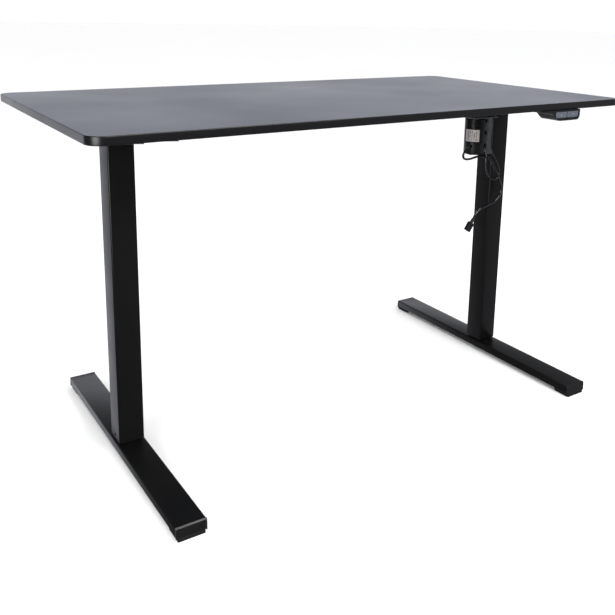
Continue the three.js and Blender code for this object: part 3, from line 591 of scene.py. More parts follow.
# ------------------------------------------------------------------------------------ pieces
def skins(name: str, shells: list[np.ndarray], ends: Ends = Ends.FLAT) -> bpy.types.Object:
    """Makes one object of closed skins, each a stack of rings.

    Faces join ring i to ring i + 1 at points j and j + 1, and every ring closes on itself.

    Args:
        name: The object's name.
        shells: One array of rings for each skin.
        ends: How every skin is closed.

    Returns:
        The new object, its faces pointing out and its soft edges smooth.
    """
    vertices, faces, first = [], [], 0
    for rings in shells:
        rows, count = rings.shape[:2]
        index = first + np.arange(rows * count).reshape(rows, count)
        last = rows if ends is Ends.JOINED else rows - 1
        lower, upper = index[:last], np.roll(index, -1, axis=0)[:last]
        quads = np.stack([lower, np.roll(lower, -1, 1), np.roll(upper, -1, 1), upper], axis=-1).reshape(-1, 4)
        shell_faces = quads.tolist()
        if ends is Ends.FLAT:
            shell_faces += [index[0, ::-1].tolist(), index[-1].tolist()]
        flat = rings.reshape(-1, 3)
        a, b, c, d = (flat[quads[:, k] - first] for k in range(4))
        volume = np.einsum("ij,ij->", a, np.cross(b, c)) + np.einsum("ij,ij->", a, np.cross(c, d))
        if ends is Ends.FLAT:
            for ring in (rings[0, ::-1], rings[-1]):
                volume += np.einsum("ij,ij->", np.broadcast_to(ring[0], ring[1:-1].shape),
                                    np.cross(ring[1:-1], ring[2:]))
        if volume < 0:
            shell_faces = [face[::-1] for face in shell_faces]
        vertices.append(flat)
        faces += shell_faces
        first += rows * count
    mesh = bpy.data.meshes.new(name)
    mesh.from_pydata(np.concatenate(vertices).tolist(), [], faces)
    mesh.shade_smooth()
    mesh.set_sharp_from_angle(angle=SMOOTH_ANGLE)
    made = bpy.data.objects.new(name, mesh)
    bpy.context.scene.collection.objects.link(made)
    return made


def bevelled(piece: bpy.types.Object, width: float, segments: int = 3) -> bpy.types.Object:
    """Rounds a piece's hard edges.

    Args:
        piece: The piece.
        width: Width of the rounding.
        segments: Faces across it.

    Returns:
        The same piece.
    """
    rounding = piece.modifiers.new("rounded_edges", "BEVEL")
    rounding.width = width
    rounding.segments = segments
    rounding.limit_method = "ANGLE"
    rounding.angle_limit = np.radians(38)
    rounding.harden_normals = True
    return piece


def softened(node: str, width: float, name: str = "") -> bpy.types.Object:
    """A merged copy of a CAD node with its edges rounded, shown in the node's place.

    Args:
        node: The CAD node.
        width: Width of the rounding.
        name: The copy's name, or nothing for the node's own with _shell after it.

    Returns:
        The copy.
    """
    mesh = bpy.data.objects[node].data.copy()
    work = bmesh.new()
    work.from_mesh(mesh)
    bmesh.ops.remove_doubles(work, verts=work.verts, dist=0.002 * MM)
    bmesh.ops.dissolve_limit(work, angle_limit=np.radians(0.6), verts=work.verts, edges=work.edges)
    work.to_mesh(mesh)
    work.free()
    mesh.shade_smooth()
    mesh.set_sharp_from_angle(angle=SMOOTH_ANGLE)
    made = bpy.data.objects.new(name or f"{node}_shell", mesh)
    bpy.context.scene.collection.objects.link(made)
    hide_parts(node)
    return bevelled(made, width)


def finish_piece(
    piece: bpy.types.Object, body: str, finish: Finish, replaces: tuple[str, ...] = ()
) -> bpy.types.Object:
    """Dresses a new piece, hides the CAD nodes that it is shown instead of and lets it ride on a body.

    Args:
        piece: The piece.
        body: The CAD body it moves with.
        finish: Its finish.
        replaces: CAD nodes that it is shown instead of.

    Returns:
        The same piece.
    """
    piece.data.materials.clear()
    piece.data.materials.append(finish.material())
    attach(piece, body)
    if replaces:
        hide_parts(*replaces)
    LOG.info("%s: %s on %s", piece.name, finish.name, body)
    return piece


def dress(node: str, finish: Finish) -> None:
    """Gives a CAD node that stays shown its finish."""
    bpy.data.objects[node].material_slots[0].material = finish.material()
    LOG.info("%s: %s", node, finish.name)


def corners(node: str) -> tuple[np.ndarray, np.ndarray]:
    """The low and the high corner of a CAD node's box."""
    low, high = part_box(node)
    return np.array(low), np.array(high)


def middle(node: str) -> np.ndarray:
    """The middle of a CAD node's box."""
    low, high = corners(node)
    return (low + high) / 2


def screws(
    name: str, seats: list[Triple], radius: float, height: float, towards: Triple = (0, 0, -1)
) -> bpy.types.Object:
    """Screw heads of one kind, each seated at its point and looking along a direction.

    Args:
        name: The object's name.
        seats: Where the heads' flat undersides lie.
        radius: Head radius.
        height: Head height.
        towards: The way that the heads look.

    Returns:
        One object with a closed skin for each head.
    """
    head = screw_head(radius, height) * np.array([1, 1, -1])
    way = np.array(towards, float)
    return skins(name, [aimed(head, seat, way) for seat in seats])


# ------------------------------------------------------------------------------------ desktop
@dataclass
class Desktop:
    """The board: laminated faces and a glued edging with softened arrises.

    Attributes:
        corner: Radius of the board's corners in plan.
        arris: Radius of the edging's long edges.
        band: How far the edging comes in over the faces' outline.
        joint: Gap between the edging and the panel.
        step: How far the panel's faces lie below the edging.
        panel_round: Radius of the panel's own edges.
    """

    corner: float = 30 * MM
    arris: float = 1.6 * MM
    band: float = 1.9 * MM
    joint: float = 0.05 * MM
    step: float = 0.02 * MM
    panel_round: float = 0.15 * MM

    def build(self) -> None:
        """Builds the faces and the edging as two closed pieces."""
        low, high = corners("board")
        size, centre = high - low, (low + high) / 2
        loop = rounded_loop(size[0], size[1], self.corner, 16)
        place = (centre[0], centre[1], 0)
        outer = slab(low[2], high[2], self.arris, 5)
        seam = np.array([[self.band, high[2]], [self.band, low[2]]])
        rings = carried(loop, np.concatenate([outer, seam]), centre=place)
        band = skins("desktop_edging", [rings], Ends.JOINED)
        # The edging's dark colour is painted shade on the board's sides.
        finish_piece(band, "top", EDGING_PAINTED_SHADE)
        faces = slab(low[2] + self.step, high[2] - self.step, self.panel_round, 1)
        panel = carried(loop, faces + [self.band + self.joint, 0], centre=place)
        board = skins("desktop_panel", [panel])
        finish_piece(board, "top", LAMINATE, ("board",))


# ------------------------------------------------------------------------------------ feet and legs
@dataclass
class Foot:
    """One foot: its tube, moulded end caps, rubber pads and bolts.

    Attributes:
        side: Which leg it belongs to.
        wall: Wall of the tube.
        corner: Corner radius of the tube.
        pad_inset: How much narrower a pad is than the cap, each side.
        cap_inset: How much narrower a cap's shell is than its CAD node, each side.
        plug_length: How far a cap's plug reaches into the tube.
        pad_length: Length of a pad.
        slope: Depth of the bevel along a cap's upper front edge.
        grooves: Shallow grooves across a cap's front.
    """

    side: Side
    wall: float = 2 * MM
    corner: float = 3 * MM
    pad_inset: float = 4 * MM
    cap_inset: float = 0.2 * MM
    plug_length: float = 24 * MM
    pad_length: float = 45 * MM
    slope: float = 3.2 * MM
    grooves: int = 4

    def build(self) -> None:
        """Builds the foot's pieces, all riding on the leg's base."""
        body = f"{self.side.word}_base"
        word = self.side.word
        low, high = corners(f"foot_tube_{word}")
        size, centre = high - low, (low + high) / 2
        loop = rounded_loop(size[0], size[2], self.corner, 6)
        rings = carried(loop, pipe(low[1], high[1], self.wall, 0.4 * MM), Along.Y, (centre[0], 0, centre[2]))
        tube = skins(f"foot_{word}", [rings], Ends.JOINED)
        finish_piece(tube, body, POWDER_COAT, (f"foot_tube_{word}",))
        for end, way in (("front", -1), ("rear", 1)):
            self.cap(end, way, body)
            bolt = softened(f"foot_bolt_{end}_{word}", 0.3 * MM)
            finish_piece(bolt, body, ZINC)
        dress(f"foot_block_{word}", DRAWN_STEEL)

    def cap(self, end: str, way: int, body: str) -> None:
        """Builds one end cap and its pad.

        Args:
            end: "front" or "rear".
            way: -1 at the front and 1 at the rear.
            body: The body they ride on.
        """
        word = self.side.word
        node = f"foot_cap_{end}_{word}"
        low, high = corners(node)
        tip = low[1] if way < 0 else high[1]
        tube_low, tube_high = corners(f"foot_tube_{word}")
        joint = (tube_low[1] if way < 0 else tube_high[1]) + way * 0.3 * MM
        top, under = high[2], tube_low[2] - 2 * MM
        front = tip - way * 0.6 * MM
        face_top = top - self.slope
        groove = np.linspace(under + 3 * MM, face_top - 3.2 * MM, self.grooves)
        steps = [(g + dz * MM, depth * MM) for g in groove for dz, depth in ((-1, 0), (0, 0.55), (1, 0))]
        lean = 0.4 * MM / (face_top - under)
        face = [(front - way * (depth + lean * (z - under)), z) for z, depth in steps]
        outline = [(joint, under), (front, under), *face, (front - way * 0.5 * MM, face_top),
                   (front - way * (self.slope + 0.2 * MM), top), (joint, top)]
        shell = prism(outline, low[0] + self.cap_inset, high[0] - self.cap_inset)
        plug_size = tube_high - tube_low - np.array([1, 0, 1]) * 2 * (self.wall + 0.3 * MM)
        plug_middle = (tube_low + tube_high) / 2
        plug_loop = rounded_loop(plug_size[0], plug_size[2], 1.5 * MM, 3)
        inner = joint - way * self.plug_length
        span = sorted((joint + way * 0.2 * MM, inner))
        plug_place = (plug_middle[0], 0, plug_middle[2])
        plug = carried(plug_loop, slab(span[0], span[1], 0.8 * MM, 2), Along.Y, plug_place)
        cap = skins(f"end_cap_{end}_{word}", [shell, plug])
        finish_piece(bevelled(cap, 0.55 * MM), body, NYLON, (node,))
        heel = tip - way * self.pad_length
        roof, step = tube_low[2] - 0.3 * MM, joint + way * 0.1 * MM
        ledge = under - 0.05 * MM
        pad_outline = [(tip, 0), (heel + way * 3 * MM, 0), (heel, roof), (step, roof), (step, ledge),
                       (front, ledge)]
        sole = prism(pad_outline, low[0] + self.pad_inset, high[0] - self.pad_inset)
        pad = skins(f"floor_pad_{end}_{word}", [sole])
        finish_piece(bevelled(pad, 0.8 * MM), body, RUBBER)


@dataclass
class Leg:
    """One telescopic leg with its gear head and spindle.

    Attributes:
        side: Which leg it is.
        outer_corner: Corner radius of the outer column.
        inner_corner: Corner radius of the inner column.
        wall: Wall of both columns.
        glide_screw: Height of the glide's screws above the outer column's lower rim.
    """

    side: Side
    outer_corner: float = 3 * MM
    inner_corner: float = 2 * MM
    wall: float = 2 * MM
    glide_screw: float = 10 * MM

    def column(self, node: str, name: str, body: str, corner: float) -> None:
        """Builds one square tube in a CAD column's place.

        Args:
            node: The CAD node.
            name: The new piece's name.
            body: The body it rides on.
            corner: Its corner radius.
        """
        low, high = corners(node)
        size, centre = high - low, (low + high) / 2
        loop = rounded_loop(size[0], size[1], corner, 7)
        rings = carried(loop, pipe(low[2], high[2], self.wall, 0.4 * MM), centre=(centre[0], centre[1], 0))
        finish_piece(skins(name, [rings], Ends.JOINED), body, POWDER_COAT, (node,))

    def build(self) -> None:
        """Builds the columns and dresses what is inside them."""
        word = self.side.word
        self.column(f"outer_column_{word}", f"column_{word}", "top", self.outer_corner)
        self.column(f"inner_column_{word}", f"lower_column_{word}", f"{word}_base", self.inner_corner)
        finish_piece(softened(f"lower_glide_{word}", 0.25 * MM), "top", NYLON)
        finish_piece(softened(f"gear_head_{word}", 0.7 * MM), "top", DIE_CAST)
        finish_piece(softened(f"gear_head_lid_{word}", 0.5 * MM), "top", DIE_CAST)
        low, high = corners(f"outer_column_{word}")
        y = (low[1] + high[1]) / 2
        for x, way, where in ((low[0], -1, "left"), (high[0], 1, "right")):
            seat = (x, y, low[2] + self.glide_screw)
            head = screws(f"glide_screw_{where}_{word}", [seat], 2.2 * MM, 0.8 * MM, (way, 0, 0))
            finish_piece(head, "top", BLACK_OXIDE)
        for node, finish in (("nut_carrier", ACETAL), ("spindle_nut", BRASS),
                             ("spindle_bearing", DRAWN_STEEL), ("spindle", SPINDLE_STEEL),
                             ("spindle_gear", DRAWN_STEEL)):
            dress(f"{node}_{word}", finish)


# ------------------------------------------------------------------------------------ under the board
@dataclass
class Underframe:
    """The support arms, the two rails and their fasteners.

    Attributes:
        rail_wall: Wall of a rail.
        rail_corner: Corner radius of a rail.
        seats: Distances of the board screws ahead of and behind a column.
    """

    rail_wall: float = 1.5 * MM
    rail_corner: float = 1.8 * MM
    seats: tuple[float, ...] = (-205 * MM, -120 * MM, 120 * MM, 205 * MM)

    def build(self) -> None:
        """Builds arms, rails, screws and rail bolts."""
        for side in Side:
            node = f"support_arm_{side.word}"
            finish_piece(softened(node, 0.6 * MM), "top", POWDER_COAT)
            low, high = corners(node)
            x, y = middle(node)[:2]
            web = high[2] - 2.5 * MM
            places = [(x, y + seat, web) for seat in self.seats]
            heads = screws(f"board_screws_{side.word}", places, 5 * MM, 2.4 * MM)
            finish_piece(heads, "top", ZINC)
            outside = high[0] if side is Side.RIGHT else low[0]
            rail_y = [middle(rail)[1] for rail in ("rail_front", "rail_rear")]
            z = middle("rail_front")[2] + 2 * MM
            bolts = screws(f"rail_bolts_{side.word}", [(outside, v, z) for v in rail_y], 5.2 * MM, 3 * MM,
                           (side.value, 0, 0))
            finish_piece(bolts, "top", BLACK_OXIDE)
        for node in ("rail_front", "rail_rear"):
            low, high = corners(node)
            size, centre = high - low, (low + high) / 2
            loop = rounded_loop(size[1], size[2], self.rail_corner, 5)
            profile = pipe(low[0], high[0], self.rail_wall, 0.3 * MM)
            rings = carried(loop, profile, Along.X, (0, centre[1], centre[2]))
            tube = skins(f"{node}_tube", [rings], Ends.JOINED)
            finish_piece(tube, "top", POWDER_COAT, (node,))


@dataclass
class DriveLine:
    """The hex shaft between the legs with its pinions and worm wheel."""

    def build(self) -> None:
        """Dresses the turning parts and rounds the shaft's edges."""
        finish_piece(softened("drive_shaft", 0.35 * MM), "drive_line", DRAWN_STEEL)
        for node, finish in (("drive_pinion_left", DRAWN_STEEL), ("drive_pinion_right", DRAWN_STEEL),
                             ("worm_wheel", BRASS), ("worm", DRAWN_STEEL), ("motor_rotor", COPPER)):
            dress(node, finish)


# ------------------------------------------------------------------------------------ motor
@dataclass
class MotorUnit:
    """The upright motor, its gearbox, bracket and blank plate.

    Attributes:
        ribs: Rolled grooves round the can above the plate.
        rib_pitch: Distance between them.
        plate_turn: Where the middle of the plate lies, round the can from -Y.
        plate_arc: How far round the plate reaches.
        plate_gap: Gap between the can and the plate.
        plate_thick: Thickness of the plate.
        bracket_sheet: Thickness of the bracket's web, with its gap to the column.
        bracket_shelf: How far under the gearbox its screws are seated.
        bracket_screws: Heights of the bracket's screws above its foot.
        gearbox_screw_inset: How far the gearbox's screws lie in from its sides.
        cap_screw_ring: Radius of the ring of screws in the lower cap.
        cap_screw_turns: Where those screws lie round it.
    """

    ribs: int = 5
    rib_pitch: float = 4.6 * MM
    plate_turn: float = np.radians(-56)
    plate_arc: float = np.radians(82)
    plate_gap: float = 0.12 * MM
    plate_thick: float = 0.3 * MM
    bracket_sheet: float = 2.3 * MM
    bracket_shelf: float = 3.3 * MM
    bracket_screws: Triple = (18 * MM, 52 * MM, 84 * MM)
    gearbox_screw_inset: float = 6 * MM
    cap_screw_ring: float = 17 * MM
    cap_screw_turns: Triple = (80, 200, 320)

    def can(self) -> None:
        """Builds the drawn can: a closed wall with rolled grooves near its top."""
        low, high = corners("motor_can")
        radius, axis = (high[0] - low[0]) / 2, middle("motor_can")[:2]
        start = high[2] - 6 * MM - (self.ribs - 1) * self.rib_pitch
        grooves = [(radius - depth * MM, start + k * self.rib_pitch + dz * MM)
                   for k in range(self.ribs) for dz, depth in ((-1.1, 0), (-0.5, 0.6), (0.5, 0.6), (1.1, 0))]
        inside, lip = radius - 2 * MM, 0.4 * MM
        hole, lid = 5 * MM, high[2] - 2.5 * MM
        profile = [(inside, low[2]), (radius - lip, low[2]), (radius, low[2] + lip), *grooves,
                   (radius, high[2] - 2 * MM), (radius - 0.6 * MM, high[2] - 0.6 * MM), (inside, high[2]),
                   (hole, high[2]), (hole, lid), (inside, lid)]
        piece = skins("motor_casing", [turned(profile, axis, 64)], Ends.JOINED)
        finish_piece(piece, "top", ENAMEL, ("motor_can",))

    def cap(self) -> None:
        """Builds the moulded lower cap: a thin cup with a round bottom edge, a groove and three screws."""
        low, high = corners("motor_cap")
        radius, axis = (high[0] - low[0]) / 2, middle("motor_cap")[:2]
        t = np.linspace(0, np.pi / 2, 7)
        bend = 6 * MM
        foot = np.stack([radius - bend * (1 - np.sin(t)), low[2] + bend * (1 - np.cos(t))], axis=-1)
        boss = low[2] + 0.8 * MM
        inside, slot = radius - 2 * MM, radius - 0.5 * MM
        profile = [(1 * MM, boss), (7 * MM, boss), (7.6 * MM, low[2]), *map(tuple, foot),
                   (radius, high[2] - 5 * MM), (slot, high[2] - 4.6 * MM), (slot, high[2] - 3.6 * MM),
                   (radius, high[2] - 3.2 * MM), (radius, high[2] - 0.4 * MM), (radius - 0.4 * MM, high[2]),
                   (inside, high[2]), (inside, low[2] + 7 * MM), (radius - 5 * MM, low[2] + 4 * MM),
                   (1 * MM, low[2] + 3 * MM)]
        piece = skins("motor_end_cap", [turned(profile, axis, 64)])
        finish_piece(piece, "top", NYLON, ("motor_cap",))
        ring = self.cap_screw_ring
        seats = [(axis[0] + ring * np.cos(a), axis[1] + ring * np.sin(a), low[2])
                 for a in np.radians(self.cap_screw_turns)]
        finish_piece(screws("motor_cap_screws", seats, 2.6 * MM, 1.6 * MM), "top", BLACK_OXIDE)

    def plate(self) -> None:
        """Builds the plate: a thin strip bent round the can, with a UV map across and up it."""
        low, high = corners("motor_label")
        can_low, can_high = corners("motor_can")
        axis, radius = middle("motor_can")[:2], (can_high[0] - can_low[0]) / 2
        t = np.linspace(-0.5, 0.5, 33) * self.plate_arc - np.pi / 2 + self.plate_turn
        out = np.stack([np.cos(t), np.sin(t)], axis=-1)
        near = radius + self.plate_gap
        far = near + self.plate_thick
        corner = np.array([[near, low[2]], [far, low[2]], [far, high[2]], [near, high[2]]])
        flat = corner[None, :, 0, None] * out[:, None] + axis
        height = np.broadcast_to(corner[None, :, 1, None], (*flat.shape[:2], 1))
        rings = np.concatenate([flat, height], axis=-1)
        piece = skins("type_plate", [rings])
        across = np.repeat(np.linspace(0, 1, len(t)), 4)
        up = np.tile([0.0, 0.0, 1.0, 1.0], len(t))
        spots = np.empty(len(piece.data.loops), np.int32)
        piece.data.loops.foreach_get("vertex_index", spots)
        layer = piece.data.uv_layers.new(name="plate")
        layer.data.foreach_set("uv", np.stack([across[spots], up[spots]], axis=-1).ravel())
        finish_piece(piece, "top", PLATE, ("motor_label",))

    def build(self) -> None:
        """Builds the motor and dresses what it holds."""
        self.can()
        self.cap()
        self.plate()
        for node, width in (("gearbox_housing", 1.0), ("gearbox_lid", 0.6)):
            finish_piece(softened(node, width * MM), "top", NYLON)
        finish_piece(softened("motor_bracket", 0.5 * MM), "top", BLACK_ZINC)
        dress("motor_magnets", FERRITE)
        dress("control_board", SOLDER_MASK)
        low, high = corners("motor_bracket")
        web = high[0] - self.bracket_sheet
        column_y = middle("outer_column_right")[1]
        seats = [(web, column_y, low[2] + rise) for rise in self.bracket_screws]
        heads = screws("bracket_screws", seats, 5 * MM, 2.6 * MM, (-1, 0, 0))
        finish_piece(heads, "top", BLACK_OXIDE)
        shelf = corners("gearbox_housing")[0][2] - self.bracket_shelf
        inset = self.gearbox_screw_inset
        box_low, box_high = corners("gearbox_housing")
        seats = [(x, box_high[1] - inset, shelf) for x in (box_low[0] + inset, box_high[0] - inset)]
        finish_piece(screws("gearbox_screws", seats, 3.6 * MM, 2 * MM), "top", BLACK_OXIDE)


# ------------------------------------------------------------------------------------ handset
@dataclass
class Handset:
    """The two-key handset under the board's front edge.

    Attributes:
        edge_round: Radius round a key's face.
        outer_corner: Radius of a key's outer lower corner, which follows the housing's window.
        corner: Radius of its other corners.
        arrow: Half the width and half the height of an arrow.
        screw_rows: How far the screws lie behind the housing's front.
    """

    edge_round: float = 0.9 * MM
    outer_corner: float = 6.5 * MM
    corner: float = 1.2 * MM
    arrow: Pair = (3.0 * MM, 2.3 * MM)
    screw_rows: Pair = (14 * MM, 36 * MM)

    def key(self, node: str, up: bool) -> None:
        """Builds one key with its raised arrow.

        Args:
            node: The CAD node, which is also the body's name.
            up: True for the arrow that points up.
        """
        low, high = corners(node)
        size, centre = high - low, (low + high) / 2
        lower = (self.outer_corner, self.corner) if up else (self.corner, self.outer_corner)
        loop = rounded_loop(size[0], size[2], (self.corner, self.corner, *lower), 7)
        profile = np.concatenate([edge(self.edge_round, low[1], False, 4), [[0, high[1]]]])
        rings = carried(loop, profile, Along.Y, (centre[0], 0, centre[2]))
        finish_piece(skins(f"{node}_cap", [rings]), node, KEY_PLASTIC, (node,))
        point = 1 if up else -1
        half, tall = self.arrow
        arrow = [(centre[0] - half, centre[2] - point * tall), (centre[0] + half, centre[2] - point * tall),
                 (centre[0], centre[2] + point * tall)]
        mark = skins(f"{node}_arrow", [prism(arrow, low[1] - 0.12 * MM, low[1] + 0.5 * MM, Along.Y)])
        finish_piece(mark, node, INK)

    def build(self) -> None:
        """Builds the housing, its screws and the keys."""
        finish_piece(softened("handset_housing", 0.7 * MM), "top", NYLON)
        dress("handset_lid", NYLON)
        dress("handset_board", BLACK_MASK)
        low, high = corners("handset_housing")
        seats = [(low[0] + 13 * MM, low[1] + row, high[2] - 4.3 * MM) for row in self.screw_rows]
        finish_piece(screws("handset_screws", seats, 3.6 * MM, 1.8 * MM), "top", BLACK_OXIDE)
        self.key("key_up", True)
        self.key("key_down", False)


# ------------------------------------------------------------------------------------ cables
# The cables' chosen routes, in millimetres from the board's own middle and the floor.
POWER_ROUTE = [
    [391.7, -100.8, 589], [385, -104.5, 588.6], [377, -107, 586], [370, -107.5, 580], [367.3, -106, 572],
    [371, -103.5, 564.5], [379, -101, 559.5], [390, -98, 557.3], [405, -95, 557], [421, -93.5, 559],
    [436, -96, 561.5], [449, -99, 561],
    [460, -101, 557], [471, -103, 547], [480, -104, 533], [489, -104, 517], [500, -104, 499],
    [509, -104, 482], [513, -104, 466], [509, -104, 450], [497, -104, 438], [478, -104, 430.5],
    [455, -104, 424.5], [438, -104, 418.5], [425, -104, 408], [417.5, -104, 397],
]
HANDSET_ROUTE = [
    [446.6, -102, 586], [448.5, -104, 578], [448, -106.5, 566], [446.5, -108, 552], [447.5, -109, 536],
    [451, -109.5, 521], [460, -110, 506], [473, -110.2, 497.5], [485, -110.4, 498], [493, -110.5, 506],
    [494.5, -110.6, 517], [490, -110.8, 530], [482, -111, 545], [472, -111, 560], [463.5, -111, 574],
    [460, -110.5, 590], [459, -111, 610], [459, -111.5, 635], [459, -112, 650], [458.8, -114, 664],
    [458.5, -121, 673.5], [458, -132, 677], [457.5, -142, 683], [457, -149, 693], [456, -158, 702],
    [455, -172, 707.3], [454, -200, 708], [453, -240, 708], [452, -270, 708], [452, -288, 708],
    [452, -303.6, 708],
]


@dataclass
class Cables:
    """The power lead with its inline connector, and the handset's cable.

    Attributes:
        power_diameter: Sheath of the power lead.
        handset_diameter: Sheath of the handset's cable.
        power_length: Length of the power lead between its strain relief and its connector; not used.
        handset_length: Length of the handset's cable; not used.
        relief_radii: Radii of the strain relief at its root and its tip.
        relief_steps: Rings of points along it.
        relief_groove: Depth of the rings cut round it.
        sleeve: Wall of the handset cable's plug.
        clip_places: Where the clips under the board sit, along y.
        clip_length: Length of a clip along its cable.
        tie_place: Middle of the cable tie, in the routes' own millimetres.
        tie_inside: Opening of the tie, slantwise and front to back.
    """

    power_diameter: float = 6 * MM
    handset_diameter: float = 3.6 * MM
    power_length: float = 0.37
    handset_length: float = 0.5
    relief_radii: Pair = (4.2 * MM, 3.7 * MM)
    relief_steps: int = 27
    relief_groove: float = 0.55 * MM
    sleeve: float = 1.6 * MM
    clip_places: Pair = (-0.185, -0.245)
    clip_length: float = 8 * MM
    tie_place: Triple = (447.5, -102.4, 561.0)
    tie_inside: Pair = (9.2 * MM, 13.6 * MM)

    def route(self, points: list[list[float]]) -> np.ndarray:
        """A chosen route in the frame's axes: millimetres to metres, moved with the board's middle."""
        shift = middle("board") * [1, 1, 0]
        return np.array(points) * MM + shift

    def cable(self, name: str, node: str, points: np.ndarray, diameter: float) -> bpy.types.Object:
        """One cable: a round sheath along a smooth curve.

        Args:
            name: The piece's name.
            node: The CAD node it is shown instead of.
            points: Its route.
            diameter: Its sheath's diameter.

        Returns:
            The curve object.
        """
        path = smooth_path(points)
        curve = bpy.data.curves.new(name, "CURVE")
        curve.dimensions = "3D"
        curve.bevel_depth = diameter / 2
        curve.bevel_resolution = 5
        curve.use_fill_caps = True
        spline = curve.splines.new("POLY")
        spline.points.add(len(path) - 1)
        spline.points.foreach_set("co", np.column_stack([path, np.ones(len(path))]).ravel())
        spline.use_smooth = True
        piece = bpy.data.objects.new(name, curve)
        bpy.context.scene.collection.objects.link(piece)
        LOG.info("%s: %.3f m", name, np.linalg.norm(np.diff(path, axis=0), axis=1).sum())
        return finish_piece(piece, "top", PVC, (node,))

    def relief(self, exit_point: np.ndarray) -> None:
        """The power lead's strain relief: a tapered sleeve with rings cut round it.

        Args:
            exit_point: Where the lead leaves the sleeve.
        """
        low, high = corners("motor_cap")
        axis = np.array([*middle("motor_cap")[:2], exit_point[2]])
        way = (exit_point - axis) / np.linalg.norm(exit_point - axis)
        root = axis + way * ((high[0] - low[0]) / 2 + 0.3 * MM)
        length = np.linalg.norm(exit_point - root) - 0.3 * MM
        root_radius, tip_radius = self.relief_radii
        z = np.linspace(0, 1, self.relief_steps)
        taper = root_radius + (tip_radius - root_radius) * z
        cut = (np.arange(self.relief_steps) % 4 == 2) & (z > 0.15) & (z < 0.95)
        rings = np.where(cut, self.relief_groove, 0)
        profile = [(0.5 * MM, 0), *zip(taper - rings, z * length), (3.2 * MM, length)]
        piece = skins("lead_strain_relief", [aimed(turned(profile, steps=28), tuple(root), way)])
        finish_piece(piece, "top", RUBBER, ("cord_relief",))

    def plug(self, start: np.ndarray) -> None:
        """The moulded plug that carries the handset's cable into the motor's lower cap.

        Args:
            start: Where the cable begins.
        """
        low, high = corners("motor_cap")
        axis = np.array([*middle("motor_cap")[:2], start[2]])
        way = (start - axis) / np.linalg.norm(start - axis)
        root = axis + way * ((high[0] - low[0]) / 2 - 0.5 * MM)
        length = np.linalg.norm(start - root) + self.handset_diameter
        radius = self.handset_diameter / 2 + self.sleeve
        core = 0.5 * MM
        profile = [(core, 0), (radius, 0), (radius, length - MM), (radius - MM, length), (core, length)]
        piece = skins("handset_plug", [aimed(turned(profile, steps=28), tuple(root), way)])
        finish_piece(piece, "top", NYLON)

    def clips(self) -> None:
        """Saddle clips that hold the handset's cable under the board: an arch between two flanges."""
        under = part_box("board")[0][2] - 0.05 * MM
        route = self.route(HANDSET_ROUTE)
        flange, thick = 9 * MM, 1.2 * MM
        inner = self.handset_diameter / 2 + 0.25 * MM
        t = np.linspace(np.pi, 2 * np.pi, 13)
        for number, y in enumerate(self.clip_places, 1):
            nearest = route[np.argmin(np.abs(route[:, 1] - y))]
            x, z = nearest[0], nearest[2]
            arch = [(x + (inner + thick) * np.cos(a), z + (inner + thick) * np.sin(a)) for a in t]
            hollow = [(x + inner * np.cos(a), z + inner * np.sin(a)) for a in t[::-1]]
            ledge = under - thick
            outline = [(x - flange, under), (x - flange, ledge), (x - inner - thick, ledge), *arch,
                       (x + inner + thick, ledge), (x + flange, ledge), (x + flange, under),
                       (x + inner, under), *hollow, (x - inner, under)]
            saddle = prism(outline, y - self.clip_length / 2, y + self.clip_length / 2, Along.Y)
            finish_piece(skins(f"cable_clip_{number}", [saddle]), "top", NYLON)

    def tie(self) -> None:
        """A nylon tie round both cables where they cross below the motor, slanted between their ways."""
        inside, centre = np.array(self.tie_inside), self.route([list(self.tie_place)])[0]
        band, half = 1.0 * MM, 1.3 * MM
        loop = rounded_loop(*(inside + 2 * band), 5 * MM)
        rings = carried(loop, pipe(-half, half, band, 0.3 * MM))
        slant = np.sqrt(0.5)
        axes = np.array([[slant, 0, slant], [0, 1, 0], [-slant, 0, slant]])
        piece = skins("cable_tie", [rings @ axes + centre], Ends.JOINED)
        finish_piece(piece, "top", NYLON)

    def build(self) -> None:
        power = self.route(POWER_ROUTE)
        handset = self.route(HANDSET_ROUTE)
        lead = self.cable("power_lead", "power_cord", power, self.power_diameter)
        link = softened("cord_connector", 0.7 * MM)
        finish_piece(link, "top", NYLON)
        cable = self.cable("handset_cable", "handset_cord", handset, self.handset_diameter)
        self.relief(power[0])
        self.plug(handset[0])
        self.clips()
        self.tie()


